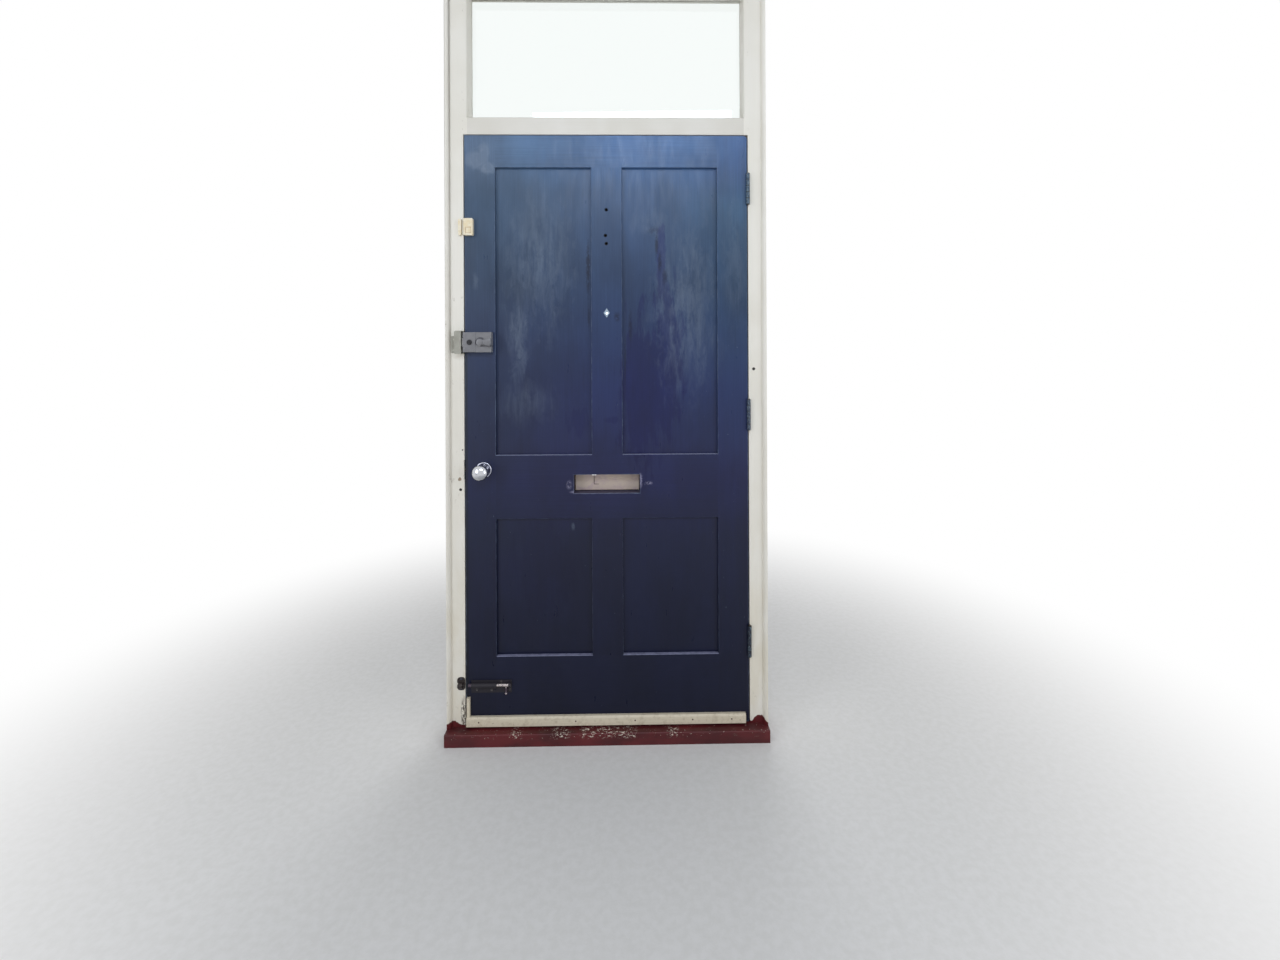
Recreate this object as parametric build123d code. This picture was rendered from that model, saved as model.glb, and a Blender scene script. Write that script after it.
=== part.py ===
from build123d import *
import os

# Panelled front door in its frame: a leaf that opens into the room on three butt hinges, under a fixed light.
# X runs along the door's width with the hinges at +X, the room is at -Y, the outside at +Y, and +Z is up.
# The origin is the centre of the sill's underside, below the middle of the frame's depth. Sizes are in mm.

# Leaf and the gaps round it
LEAF_WIDTH = 930.0
LEAF_HEIGHT = 1935.0
LEAF_THICK = 44.0
EDGE_GAP = 3.0
FOOT_GAP = 4.0
STOP_GAP = 1.5

# Leaf joinery
STILE = 100.0
TOP_RAIL = 105.0
LOCK_RAIL = 210.0
LOCK_RAIL_UP = 675.0
BOTTOM_RAIL = 225.0
MUNTIN = 102.0
PANEL_THICK = 18.0
PANEL_IN = 10.0
GROOVE_SPARE = 2.0
TENON_THICK = 14.0
TENON_DEEP = 60.0
TENON_SHOULDER = 15.0
LOCK_TENON = 100.0
BOTTOM_TENON = 70.0
MUNTIN_TENON_DEEP = 40.0
MUNTIN_TENON_SHOULDER = 16.0
GLUE_GAP = 0.1
END_GAP = 1.0
ARRIS = 1.2
BEVEL_ANGLE = 45.0
STILE_ROUND = 1.5
WORN_CORNER = 13.0
MUNTIN_HOLE_R = 4.0
MUNTIN_HOLE_DEEP = 12.0
MUNTIN_HOLES = ((0.0, 244.4), (-3.3, 329.0), (-0.4, 355.7))

# Frame
FRAME_DEPTH = 95.0
JAMB_FACE = 57.0
STOP_STEP = 13.0
TRANSOM_FACE = 57.0
LIGHT_HEIGHT = 420.0
HEAD_HEIGHT = 70.0
FRAME_TENON_THICK = 22.0
FRAME_TENON_WIDE = 34.0
FRAME_TENON_DEEP = 30.0
FRAME_ARRIS = 1.0
SILL_THICK = 40.0
SILL_ROOM = 42.0
SILL_NOSE = 27.5
SILL_UPSTAND = 10.0
SILL_ROUND = 4.0
DRIP_IN = 12.0
DRIP_WIDE = 6.0
DRIP_DEEP = 5.0
COVER_BEAD = 14.0

# Light
GLASS_SETBACK = 60.0
GLASS_THICK = 4.0
GLASS_PLAY = 2.0
GLAZING_BEAD = 14.0
GLAZING_BEVEL = 6.0
LIGHT_BEVEL = 3.0

# Butt hinges
HINGE_HEIGHT = 102.0
HINGE_PLATE = 2.5
HINGE_PLATE_IN = 27.5
HINGE_TOP_DOWN = 177.0
HINGE_MIDDLE_UP = 1014.0
HINGE_BOTTOM_UP = 268.0
KNUCKLES = 5
KNUCKLE_R = 6.3
KNUCKLE_GAP = 0.3
PIN_OUT = 7.0
PIN_R = 3.0
PIN_FIT = 0.05
PIN_HEAD_R = 4.4
PIN_HEAD = 1.6
HINGE_SCREW_PITCH = 38.0
HINGE_SCREW_IN = 15.0

# Wood screws
SCREW_HEAD_R = 4.0
SCREW_SHANK_R = 2.0
SCREW_LENGTH = 22.0
SCREW_FIT = 0.1
EDGE_BAND = 0.1
ROUND_END_EASE = 0.01

# Room-side nightlatch
NIGHTLATCH_UP = 1256.0
NIGHTLATCH_WIDTH = 92.0
NIGHTLATCH_HEIGHT = 65.0
NIGHTLATCH_DEEP = 27.0
NIGHTLATCH_STEP_AT = 42.0
NIGHTLATCH_STEP = 2.5
NIGHTLATCH_WALL = 2.5
NIGHTLATCH_ROUND = 2.0
NIGHTLATCH_PLATE = 1.5
NIGHTLATCH_PLATE_IN = 3.0
PLATE_SCREW_NEAR_IN = 10.0
PLATE_SCREW_FAR_IN = 78.0
NIGHTLATCH_BOLT_HEIGHT = 27.0
NIGHTLATCH_BOLT_THICK = 13.0
NIGHTLATCH_BOLT_OUT = 18.0
NIGHTLATCH_BOLT_IN = 25.0
NIGHTLATCH_BOLT_BEVEL = 10.0
NIGHTLATCH_BOLT_PROUD = 14.0
SNIB_BACKSET = 22.0
SNIB_R = 8.5
SNIB_THICK = 4.0
SNIB_STEM_R = 2.5
SNIB_TRAVEL = 6.0
SNIB_FLANGE_R = 5.0
SNIB_FLANGE = 1.5
LEVER_HUB_R = 6.0
LEVER_BOSS_R = 11.0
LEVER_BOSS = 12.0
LEVER_REACH = 35.5
LEVER_HEIGHT = 25.0
LEVER_ROOT = 17.6
LEVER_EASE = 4.2
LEVER_THICK = 6.5
LEVER_BORE_R = 4.5
CYLINDER_BACKSET = 57.0
CYLINDER_R = 16.0
CYLINDER_LONG = 30.0
CYLINDER_RING_R = 21.0
CYLINDER_RING = 5.0
CYLINDER_SCREW_R = 2.2
CYLINDER_SCREW_OUT = 11.0
CYLINDER_SCREW_IN = 8.0
PLUG_R = 6.5
PLUG_FIT = 0.1
TAIL_WIDE = 6.0
TAIL_THICK = 2.0

# Nightlatch keeper on the jamb
KEEPER_GAP = 5.0
KEEPER_WIDTH = 22.0
KEEPER_HEIGHT = 75.0
KEEPER_DEEP = 28.0
KEEPER_WALL = 3.0
KEEPER_ROUND = 5.0
KEEPER_BASE = 2.0
KEEPER_FLANGE_OUT = 38.6
KEEPER_FLANGE_HEIGHT = 56.0
KEEPER_FLANGE_DROP = 7.0
KEEPER_RETURN_IN = 25.0
KEEPER_RETURN_SCREW_IN = 13.75
KEEPER_SCREW_PITCH = 36.0

# Knob set
KNOB_UP = 838.0
KNOB_BACKSET = 61.0
ROSE_R = 26.0
ROSE_THICK = 8.0
ROSE_RIM = 5.0
ROSE_DISH = 3.0
ROSE_COLLAR = 2.5
ROSE_COLLAR_TOP = 1.5
ROSE_COLLAR_DOWN = 1.0
KNOB_R = 25.0
KNOB_FOOT = 2.0
KNOB_NECK = 6.0
KNOB_WAIST_R = 9.0
KNOB_WIDEST_OUT = 52.0
KNOB_OUT = 68.0
KNOB_FIT = 0.15
SPINDLE = 8.0
SPINDLE_GRIP = 24.0
SPINDLE_HOLE_R = 10.0
SPINDLE_CROSSING_R = 6.0
LATCH_CASE_R = 11.0
LATCH_CASE_LONG = 76.0
LATCH_FIT = 0.3
FOREND_HEIGHT = 57.0
FOREND_WIDTH = 25.0
FOREND_THICK = 3.0
FOREND_SCREW_PITCH = 42.0
LATCH_BOLT_HEIGHT = 15.0
LATCH_BOLT_THICK = 12.0
LATCH_BOLT_OUT = 11.0
LATCH_BOLT_IN = 26.0
LATCH_BOLT_BEVEL = 9.0
STRIKE_THICK = 2.0
STRIKE_MARGIN = 3.0
STRIKE_POCKET = 12.0
STRIKE_SIDE_FIT = 1.0
STRIKE_END_FIT = 1.5

# Letter slot and plate
SLOT_UP = 788.0
SLOT_X = -2.0
SLOT_WIDTH = 218.0
SLOT_HEIGHT = 62.0
LETTER_PLATE_MARGIN = 31.0
LETTER_PLATE_LIP = 12.0
LETTER_PLATE_THICK = 4.0
LETTER_PLATE_ROUND = 6.0
APERTURE_IN = 7.0
FLAP_PLAY = 3.0
FLAP_THICK = 2.5
FLAP_DROP = 54.0
FLAP_BARREL_R = 3.0
FLAP_PIN_R = 1.8
FLAP_PIN_FIT = 0.1
FLAP_BACK_GAP = 0.8
FLAP_AXIS_DOWN = 5.5
EAR_THICK = 1.8
STUD_X = 125.5
STUD_R = 2.5
STUD_PROUD = 7.0
NUT_R = 5.0
NUT_SIDES = 6
NUT_THICK = 4.0
SPRING_X = -46.0
SPRING_WIRE_R = 0.7
SPRING_COIL_LONG = 14.0
SPRING_FOOT = 17.0
SPRING_ARM_DROP = 35.0

# Door viewer
VIEWER_UP = 1351.0
VIEWER_R = 7.0
VIEWER_BORE_R = 4.5
VIEWER_FIT = 0.2
VIEWER_DIAMOND_WIDTH = 20.0
VIEWER_DIAMOND_HEIGHT = 30.5
VIEWER_DIAMOND_THICK = 1.6
VIEWER_EYE_R = 6.5
VIEWER_EYE = 1.2
VIEWER_FLANGE_R = 11.0
VIEWER_FLANGE = 2.0
VIEWER_LENS = 3.0

# Barrel bolt near the foot
BOLT_UP = 136.0
BOLT_PLATE_LEFT = 17.0
BOLT_PLATE_LONG = 132.0
BOLT_PLATE_HEIGHT = 41.0
BOLT_PLATE_DOWN = 28.0
BOLT_PLATE_THICK = 2.0
BARREL_LEFT = 20.0
BARREL_LONG = 81.5
BARREL_R = 8.0
ROD_R = 5.0
ROD_FIT = 0.3
ROD_NOSE = 9.0
ROD_TAIL = 147.0
ROD_TRAVEL = 27.0
STRAP_AT = 143.0
STRAP_WIDE = 6.0
HANDLE_AT = 132.0
HANDLE_R = 3.0
HANDLE_DROP = 27.0
HANDLE_BALL_R = 4.4
BOLT_SCREWS = ((35.0, -18.0), (83.0, -19.5), (115.0, 8.5), (143.0, -18.0))
BOLT_EMPTY_HOLE = (95.0, -19.5)
BOLT_KEEPER_WIDTH = 26.0
BOLT_KEEPER_HEIGHT = 42.0
BOLT_KEEPER_RISE = 2.0
BOLT_KEEPER_ROUND = 10.0
HOOP_R = 9.0
HOOP_WIDE = 12.0
HOOP_IN = 5.0
HOOP_FIT = 2.0
BOLT_KEEPER_SCREW_OUT = 16.0

# Draught strip, corner fillet and alarm contact
STRIP_LEFT_IN = 3.0
STRIP_RIGHT_IN = 13.0
STRIP_UP = 3.0
STRIP_HEIGHT = 29.0
STRIP_THICK = 14.0
STRIP_BEVEL = 5.0
NAIL_R = 1.6
NAIL_HEAD_R = 2.6
NAIL_HEAD = 0.8
NAIL_LONG = 26.0
NAIL_SHARES = (0.0443, 0.3895, 0.6018, 0.8081, 0.9486)
FILLET_WIDE = 11.0
FILLET_HEIGHT = 62.0
FILLET_THICK = 10.0
FILLET_ARRIS = 2.2
CONTACT_SHARE = 0.5545
CONTACT_IN = 1.0
CONTACT_WIDTH = 30.0
CONTACT_HEIGHT = 55.0
CONTACT_THICK = 16.0
CONTACT_ROUND = 3.0
CONTACT_RELIEF = 18.0
CONTACT_RELIEF_DEEP = 1.5
CONTACT_RELIEF_ROUND = 1.0
CONTACT_BUTTON_R = 3.6
MAGNET_GAP = 8.5
MAGNET_WIDTH = 9.5
MAGNET_HEIGHT = 52.0
MAGNET_THICK = 12.0

# Planes and edges worked out from the sizes above
ROOM = -FRAME_DEPTH / 2
OUTSIDE = FRAME_DEPTH / 2
LEAF_BACK = ROOM + LEAF_THICK
LEAF_MIDDLE = (ROOM + LEAF_BACK) / 2
STOP_FACE = LEAF_BACK + STOP_GAP
LOCK_EDGE = -LEAF_WIDTH / 2
HINGE_EDGE = LEAF_WIDTH / 2
REBATE_HALF = LEAF_WIDTH / 2 + EDGE_GAP
STOP_HALF = REBATE_HALF - STOP_STEP
FRAME_HALF = REBATE_HALF + JAMB_FACE
FOOT = SILL_THICK + FOOT_GAP
LEAF_TOP = FOOT + LEAF_HEIGHT
TRANSOM_REBATE = LEAF_TOP + EDGE_GAP
TRANSOM_STOP = TRANSOM_REBATE - STOP_STEP
TRANSOM_TOP = TRANSOM_REBATE + TRANSOM_FACE
LIGHT_TOP = TRANSOM_TOP + LIGHT_HEIGHT
HEAD_TOP = LIGHT_TOP + HEAD_HEIGHT
GLASS_FACE = ROOM + GLASS_SETBACK
STILE_INNER = LEAF_WIDTH / 2 - STILE
BOTTOM_RAIL_TOP = FOOT + BOTTOM_RAIL
LOCK_RAIL_FOOT = FOOT + LOCK_RAIL_UP
LOCK_RAIL_TOP = LOCK_RAIL_FOOT + LOCK_RAIL
TOP_RAIL_FOOT = LEAF_TOP - TOP_RAIL
PIN_X = HINGE_EDGE + EDGE_GAP / 2
PIN_Y = ROOM - PIN_OUT
HINGE_HEIGHTS = {
    "top": LEAF_TOP - HINGE_TOP_DOWN,
    "middle": FOOT + HINGE_MIDDLE_UP,
    "bottom": FOOT + HINGE_BOTTOM_UP,
}
NIGHTLATCH_Z = FOOT + NIGHTLATCH_UP
CONTACT_Z = NIGHTLATCH_Z + CONTACT_SHARE * (LEAF_TOP - NIGHTLATCH_Z)
CYLINDER_X = LOCK_EDGE + CYLINDER_BACKSET
NIGHTLATCH_FRONT = ROOM - NIGHTLATCH_DEEP
NIGHTLATCH_BOLT_Y = ROOM - NIGHTLATCH_BOLT_PROUD
KNOB_X = LOCK_EDGE + KNOB_BACKSET
KNOB_Z = FOOT + KNOB_UP
SLOT_Z = FOOT + SLOT_UP
VIEWER_Z = FOOT + VIEWER_UP
BOLT_Z = FOOT + BOLT_UP
BOLT_FACE = ROOM - BOLT_PLATE_THICK
ROD_Y = BOLT_FACE - BARREL_R + 1.0


# Solids shared by many pieces
def block(x0, x1, y0, y1, z0, z1):
    """A box between two opposite corners."""
    middle = Pos((x0 + x1) / 2, (y0 + y1) / 2, (z0 + z1) / 2)
    return middle * Box(x1 - x0, y1 - y0, z1 - z0)


def rod_x(radius, x0, x1, y, z):
    """A round rod along X."""
    return Pos((x0 + x1) / 2, y, z) * Rot(0, 90, 0) * Cylinder(radius, x1 - x0)


def rod_y(radius, y0, y1, x, z):
    """A round rod along Y."""
    return Pos(x, (y0 + y1) / 2, z) * Rot(90, 0, 0) * Cylinder(radius, y1 - y0)


def rod_z(radius, z0, z1, x, y):
    """A round rod along Z."""
    return Pos(x, y, (z0 + z1) / 2) * Cylinder(radius, z1 - z0)


def prism_x(points, x0, x1):
    """A bar along X whose section is drawn in Y and Z."""
    section = make_face(Polyline(*points, close=True))
    return extrude(Plane.YZ.offset(x0) * section, x1 - x0)


def prism_y(points, y0, y1):
    """A bar along Y whose section is drawn in X and Z."""
    section = make_face(Polyline(*points, close=True))
    return extrude(Plane.XZ.offset(-y1) * section, y1 - y0)


def prism_z(points, z0, z1):
    """A bar along Z whose section is drawn in X and Y."""
    section = make_face(Polyline(*points, close=True))
    return extrude(Plane.XY.offset(z0) * section, z1 - z0)


def rounded_plate(width, height, corner, y0, y1, x, z):
    """A flat plate facing the room, with its four corners rounded."""
    outline = Pos(x, z) * RectangleRounded(width, height, corner)
    return extrude(Plane.XZ.offset(-y1) * outline, y1 - y0)


def turned(outline):
    """A piece turned about +Z from an outline of radius and height."""
    return revolve(Plane.XZ * make_face(outline), Axis.Z)


def screw(fit=0.0):
    """A countersunk wood screw that points down from its flush head, or its hole when given a fit."""
    cone = SCREW_HEAD_R - SCREW_SHANK_R
    corners = [
        (0.0, 0.0),
        (SCREW_HEAD_R + fit, 0.0),
        (SCREW_SHANK_R + fit, -cone),
        (SCREW_SHANK_R + fit, -SCREW_LENGTH - fit),
        (0.0, -SCREW_LENGTH - fit),
    ]
    return turned(Polyline(*corners, close=True))


INTO_LEAF = Rot(90, 0, 0)
HEAD_TO_HINGES = Rot(0, 90, 0)
HEAD_TO_LOCK = Rot(0, -90, 0)


def at_each(places, solid):
    """Copies of one solid, one at each place."""
    return [place * solid for place in places]


def meets(first, second):
    """Whether the boxes round two solids overlap."""
    a = first.bounding_box()
    b = second.bounding_box()
    across = a.min.X < b.max.X and b.min.X < a.max.X
    through = a.min.Y < b.max.Y and b.min.Y < a.max.Y
    return across and through and a.min.Z < b.max.Z and b.min.Z < a.max.Z


def cut(solid, tools):
    """What is left of a solid after each tool that reaches it has been cut from it."""
    for tool in tools:
        if meets(solid, tool):
            solid = solid - tool
    return solid


# Frame
def door_rebate(x0, x1):
    """The room-side rebate that the leaf shuts into, below the transom."""
    return block(x0, x1, ROOM, STOP_FACE, SILL_THICK, TRANSOM_REBATE)


def glazing_rebate():
    """The outside rebate round the light, for the glass and its beads."""
    return block(
        -REBATE_HALF, REBATE_HALF, GLASS_FACE, OUTSIDE, TRANSOM_TOP - STOP_STEP, LIGHT_TOP + STOP_STEP
    )


def jamb_tenon(side, z0, z1, fit):
    """The tenon at a jamb's foot or top, or its mortice when given a fit."""
    middle = side * (STOP_HALF + FRAME_HALF) / 2
    half = FRAME_TENON_WIDE / 2 + fit
    deep = FRAME_TENON_THICK / 2 + fit
    return block(middle - half, middle + half, -deep, deep, z0, z1)


def transom_tenon(side, fit):
    """The tenon at one end of the transom, or its mortice when given a fit."""
    deep = FRAME_TENON_THICK / 2 + fit
    low = TRANSOM_REBATE + END_GAP - fit
    high = TRANSOM_TOP - STOP_STEP - END_GAP + fit
    far = STOP_HALF + FRAME_TENON_DEEP + (END_GAP if fit else 0.0)
    x0, x1 = sorted((side * STOP_HALF, side * far))
    return block(x0, x1, -deep, deep, low, high)


def jamb(side):
    """A jamb with its door rebate, stop and glazing rebate, tenoned into the sill and the head."""
    x0, x1 = sorted((side * STOP_HALF, side * FRAME_HALF))
    body = block(x0, x1, ROOM, OUTSIDE, SILL_THICK, LIGHT_TOP)
    r0, r1 = sorted((side * STOP_HALF, side * REBATE_HALF))
    body = body - door_rebate(r0, r1) - glazing_rebate() - transom_tenon(side, GLUE_GAP)
    body = body + jamb_tenon(side, SILL_THICK - FRAME_TENON_DEEP, SILL_THICK, 0.0)
    body = body + jamb_tenon(side, LIGHT_TOP, LIGHT_TOP + FRAME_TENON_DEEP, 0.0)
    return body


def transom():
    """The bar over the leaf, rebated for it below and for the glass above."""
    body = block(-STOP_HALF, STOP_HALF, ROOM, OUTSIDE, TRANSOM_STOP, TRANSOM_TOP)
    body = body - door_rebate(-STOP_HALF, STOP_HALF) - glazing_rebate()
    return body + transom_tenon(-1, 0.0) + transom_tenon(1, 0.0)


def head():
    """The top bar, which sits across both jambs."""
    body = block(-FRAME_HALF, FRAME_HALF, ROOM, OUTSIDE, LIGHT_TOP, HEAD_TOP)
    mortice_top = LIGHT_TOP + FRAME_TENON_DEEP + END_GAP
    tools = [jamb_tenon(side, LIGHT_TOP, mortice_top, GLUE_GAP) for side in (-1, 1)]
    return cut(body, tools) - glazing_rebate()


def sill():
    """The sill: a room-side shelf, an upstand behind the leaf, a weathered top, a nose and a drip groove."""
    fall = SILL_UPSTAND / (OUTSIDE - STOP_FACE)
    nose_y = OUTSIDE + SILL_NOSE
    nose_z = SILL_THICK - SILL_NOSE * fall
    shelf = ROOM - SILL_ROOM
    section = [(shelf, 0.0), (nose_y, 0.0), (nose_y, nose_z), (OUTSIDE, SILL_THICK), (shelf, SILL_THICK)]
    body = prism_x(section, -FRAME_HALF, FRAME_HALF)
    shelf_band = (shelf - EDGE_BAND, shelf + EDGE_BAND)
    room_arris = body.edges().filter_by(Axis.X).filter_by_position(Axis.Y, *shelf_band)
    body = fillet(room_arris.sort_by(Axis.Z)[-1:], SILL_ROUND)
    weathering = [(STOP_FACE, SILL_THICK), (OUTSIDE, SILL_THICK), (STOP_FACE, SILL_THICK + SILL_UPSTAND)]
    body = body + prism_x(weathering, -STOP_HALF, STOP_HALF)
    groove_y = nose_y - DRIP_IN
    body = body - block(-FRAME_HALF, FRAME_HALF, groove_y - DRIP_WIDE, groove_y, 0.0, DRIP_DEEP)
    mortice_foot = SILL_THICK - FRAME_TENON_DEEP - END_GAP
    return cut(body, [jamb_tenon(side, mortice_foot, SILL_THICK, GLUE_GAP) for side in (-1, 1)])


def light_glass():
    """The pane over the transom, seated against the rebate's room side."""
    half = REBATE_HALF - GLASS_PLAY
    low = TRANSOM_TOP - STOP_STEP + GLASS_PLAY
    high = LIGHT_TOP + STOP_STEP - GLASS_PLAY
    return block(-half, half, GLASS_FACE, GLASS_FACE + GLASS_THICK, low, high)


def glazing_beads():
    """Four bevelled beads that hold the pane from outside: two across, two between them."""
    back = GLASS_FACE + GLASS_THICK
    front = back + GLAZING_BEAD
    low = TRANSOM_TOP - STOP_STEP
    high = LIGHT_TOP + STOP_STEP

    def section(edge, inward):
        inner = edge + inward * STOP_STEP
        return [
            (edge, back),
            (inner, back),
            (inner, back + GLAZING_BEVEL),
            (edge + inward * (STOP_STEP - GLAZING_BEVEL), front),
            (edge, front),
        ]

    across = [
        prism_x([(y, z) for z, y in section(edge, inward)], -REBATE_HALF, REBATE_HALF)
        for edge, inward in ((low, 1), (high, -1))
    ]
    upright = [
        prism_z(section(edge, inward), TRANSOM_TOP, LIGHT_TOP)
        for edge, inward in ((-REBATE_HALF, 1), (REBATE_HALF, -1))
    ]
    return across + upright


def cover_beads():
    """Quadrant beads round the frame's room-side outer edge, mitred at the two top corners."""
    inner = FRAME_HALF - COVER_BEAD
    under = HEAD_TOP - COVER_BEAD
    front = ROOM - COVER_BEAD
    beads = []
    for side in (-1, 1):
        rod = rod_z(COVER_BEAD, SILL_THICK, HEAD_TOP, side * FRAME_HALF, ROOM)
        outline = [
            (side * inner, SILL_THICK),
            (side * FRAME_HALF, SILL_THICK),
            (side * FRAME_HALF, HEAD_TOP),
            (side * inner, under),
        ]
        beads.append(rod & prism_y(outline, front, ROOM))
    rod = rod_x(COVER_BEAD, -FRAME_HALF, FRAME_HALF, ROOM, HEAD_TOP)
    outline = [(-inner, under), (inner, under), (FRAME_HALF, HEAD_TOP), (-FRAME_HALF, HEAD_TOP)]
    beads.append(rod & prism_y(outline, front, ROOM))
    return beads


# Leaf
def openings():
    """The four panel openings as (x0, x1, z0, z1), lower pair first."""
    half = MUNTIN / 2
    found = []
    for z0, z1 in ((BOTTOM_RAIL_TOP, LOCK_RAIL_FOOT), (LOCK_RAIL_TOP, TOP_RAIL_FOOT)):
        found.append((-STILE_INNER, -half, z0, z1))
        found.append((half, STILE_INNER, z0, z1))
    return found


def grooves():
    """The panel grooves of all four openings, with room at the bottom of each for the panel to swell."""
    deep = PANEL_IN + GROOVE_SPARE
    half = PANEL_THICK / 2 + GLUE_GAP
    return [
        block(x0 - deep, x1 + deep, LEAF_MIDDLE - half, LEAF_MIDDLE + half, z0 - deep, z1 + deep)
        for x0, x1, z0, z1 in openings()
    ]


def eased_arrises():
    """Cutters that take the sharp arris off each opening, on both faces of the leaf."""
    cutters = []
    for x0, x1, z0, z1 in openings():
        outline = Pos((x0 + x1) / 2, (z0 + z1) / 2) * Rectangle(x1 - x0 + 2 * ARRIS, z1 - z0 + 2 * ARRIS)
        room = extrude(Plane.XZ.offset(-ROOM) * outline, -ARRIS, taper=BEVEL_ANGLE)
        back = extrude(Plane.XZ.offset(-LEAF_BACK) * outline, ARRIS, taper=BEVEL_ANGLE)
        cutters += [room, back]
    return cutters


def rail_tenon(side, low, high, fit=0.0):
    """One end tenon of a rail, or its mortice when given a fit."""
    half = TENON_THICK / 2 + fit
    far = STILE_INNER + TENON_DEEP + (END_GAP if fit else 0.0)
    x0, x1 = sorted((side * STILE_INNER, side * far))
    return block(x0, x1, LEAF_MIDDLE - half, LEAF_MIDDLE + half, low - fit, high + fit)


def muntin_tenon(z_shoulder, way, fit=0.0):
    """A stub tenon of a muntin that goes up or down into a rail, or its mortice when given a fit."""
    half = TENON_THICK / 2 + fit
    wide = MUNTIN / 2 - MUNTIN_TENON_SHOULDER + fit
    far = z_shoulder + way * (MUNTIN_TENON_DEEP + (END_GAP if fit else 0.0))
    z0, z1 = sorted((z_shoulder, far))
    return block(-wide, wide, LEAF_MIDDLE - half, LEAF_MIDDLE + half, z0, z1)


BOTTOM_TENONS = (
    (FOOT + TENON_SHOULDER, FOOT + TENON_SHOULDER + BOTTOM_TENON),
    (BOTTOM_RAIL_TOP - TENON_SHOULDER - BOTTOM_TENON, BOTTOM_RAIL_TOP - TENON_SHOULDER),
)
LOCK_TENONS = ((LOCK_RAIL_FOOT + TENON_SHOULDER, LOCK_RAIL_FOOT + TENON_SHOULDER + LOCK_TENON),)
TOP_TENONS = ((TOP_RAIL_FOOT + TENON_SHOULDER, LEAF_TOP - 2 * TENON_SHOULDER),)


def rail(low, high, tenons):
    """A rail between the stiles with its end tenons, grooved and eased for the panels."""
    body = block(-STILE_INNER, STILE_INNER, ROOM, LEAF_BACK, low, high)
    body = cut(body, grooves() + eased_arrises())
    for side in (-1, 1):
        for z0, z1 in tenons:
            body = body + rail_tenon(side, z0, z1)
    return body


def stile(side):
    """A stile with its mortices, its panel grooves and its rounded outer arrises."""
    inner = side * STILE_INNER
    edge = side * LEAF_WIDTH / 2
    x0, x1 = sorted((inner, edge))
    body = block(x0, x1, ROOM, LEAF_BACK, FOOT, LEAF_TOP)
    outer = body.edges().filter_by(Axis.Z).filter_by_position(Axis.X, edge - EDGE_BAND, edge + EDGE_BAND)
    body = fillet(outer, STILE_ROUND)
    mortices = [
        rail_tenon(side, z0, z1, GLUE_GAP)
        for z0, z1 in BOTTOM_TENONS + LOCK_TENONS + TOP_TENONS
    ]
    return cut(body, mortices + grooves() + eased_arrises())


def muntin(low, high):
    """An upright between two rails, stub-tenoned into both."""
    body = block(-MUNTIN / 2, MUNTIN / 2, ROOM, LEAF_BACK, low, high)
    body = cut(body, grooves() + eased_arrises())
    return body + muntin_tenon(low, -1) + muntin_tenon(high, 1)


def panel(x0, x1, z0, z1):
    """A flat panel that stands in its grooves."""
    half = PANEL_THICK / 2
    return block(
        x0 - PANEL_IN, x1 + PANEL_IN, LEAF_MIDDLE - half, LEAF_MIDDLE + half, z0 - PANEL_IN, z1 + PANEL_IN
    )


def worn_corner():
    """The waste outside the rounded top corner of the hinge stile."""
    x0 = HINGE_EDGE - WORN_CORNER
    z0 = LEAF_TOP - WORN_CORNER
    corner = block(x0, HINGE_EDGE, ROOM, LEAF_BACK, z0, LEAF_TOP)
    return corner - rod_y(WORN_CORNER, ROOM, LEAF_BACK, x0, z0)


def muntin_holes():
    """Three blind holes in the upper muntin."""
    return [
        rod_y(MUNTIN_HOLE_R, ROOM, ROOM + MUNTIN_HOLE_DEEP, x, LEAF_TOP - down) for x, down in MUNTIN_HOLES
    ]


# Butt hinges
def knuckle_spans(middle, first):
    """The heights of every second knuckle of a hinge, from the first or the second one up."""
    pitch = HINGE_HEIGHT / KNUCKLES
    foot = middle - HINGE_HEIGHT / 2
    gap = KNUCKLE_GAP / 2
    return [
        (foot + number * pitch + gap, foot + (number + 1) * pitch - gap)
        for number in range(first, KNUCKLES, 2)
    ]


def hinge_screw_places(middle, side):
    """The three screws of one hinge leaf; side is -1 on the door's edge and +1 on the jamb."""
    face = PIN_X + side * EDGE_GAP / 2
    turn = HEAD_TO_HINGES if side < 0 else HEAD_TO_LOCK
    return [
        Pos(face, ROOM + HINGE_SCREW_IN, middle + step * HINGE_SCREW_PITCH) * turn for step in (-1, 0, 1)
    ]


def hinge_plate_block(middle, side):
    """The flat of one hinge leaf, let in flush, as a plain block: also the recess that it lies in."""
    face = PIN_X + side * EDGE_GAP / 2
    x0, x1 = sorted((face, face + side * HINGE_PLATE))
    half = HINGE_HEIGHT / 2
    return block(x0, x1, ROOM, ROOM + HINGE_PLATE_IN, middle - half, middle + half)


def hinge_leaf(middle, side):
    """One leaf of a butt hinge: the flat, its tongues, its rolled knuckles and its screw holes."""
    body = hinge_plate_block(middle, side)
    face = PIN_X + side * EDGE_GAP / 2
    x0, x1 = sorted((face, face + side * HINGE_PLATE))
    for z0, z1 in knuckle_spans(middle, 0 if side > 0 else 1):
        body = body + block(x0, x1, PIN_Y, ROOM, z0, z1) + rod_z(KNUCKLE_R, z0, z1, PIN_X, PIN_Y)
    half = HINGE_HEIGHT / 2
    body = body - rod_z(PIN_R + PIN_FIT, middle - half, middle + half, PIN_X, PIN_Y)
    return cut(body, at_each(hinge_screw_places(middle, side), screw(SCREW_FIT)))


def hinge_pin(middle):
    """A hinge pin with a low head that rests on the top knuckle."""
    half = HINGE_HEIGHT / 2
    shank = rod_z(PIN_R, middle - half, middle + half, PIN_X, PIN_Y)
    return shank + rod_z(PIN_HEAD_R, middle + half, middle + half + PIN_HEAD, PIN_X, PIN_Y)


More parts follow.
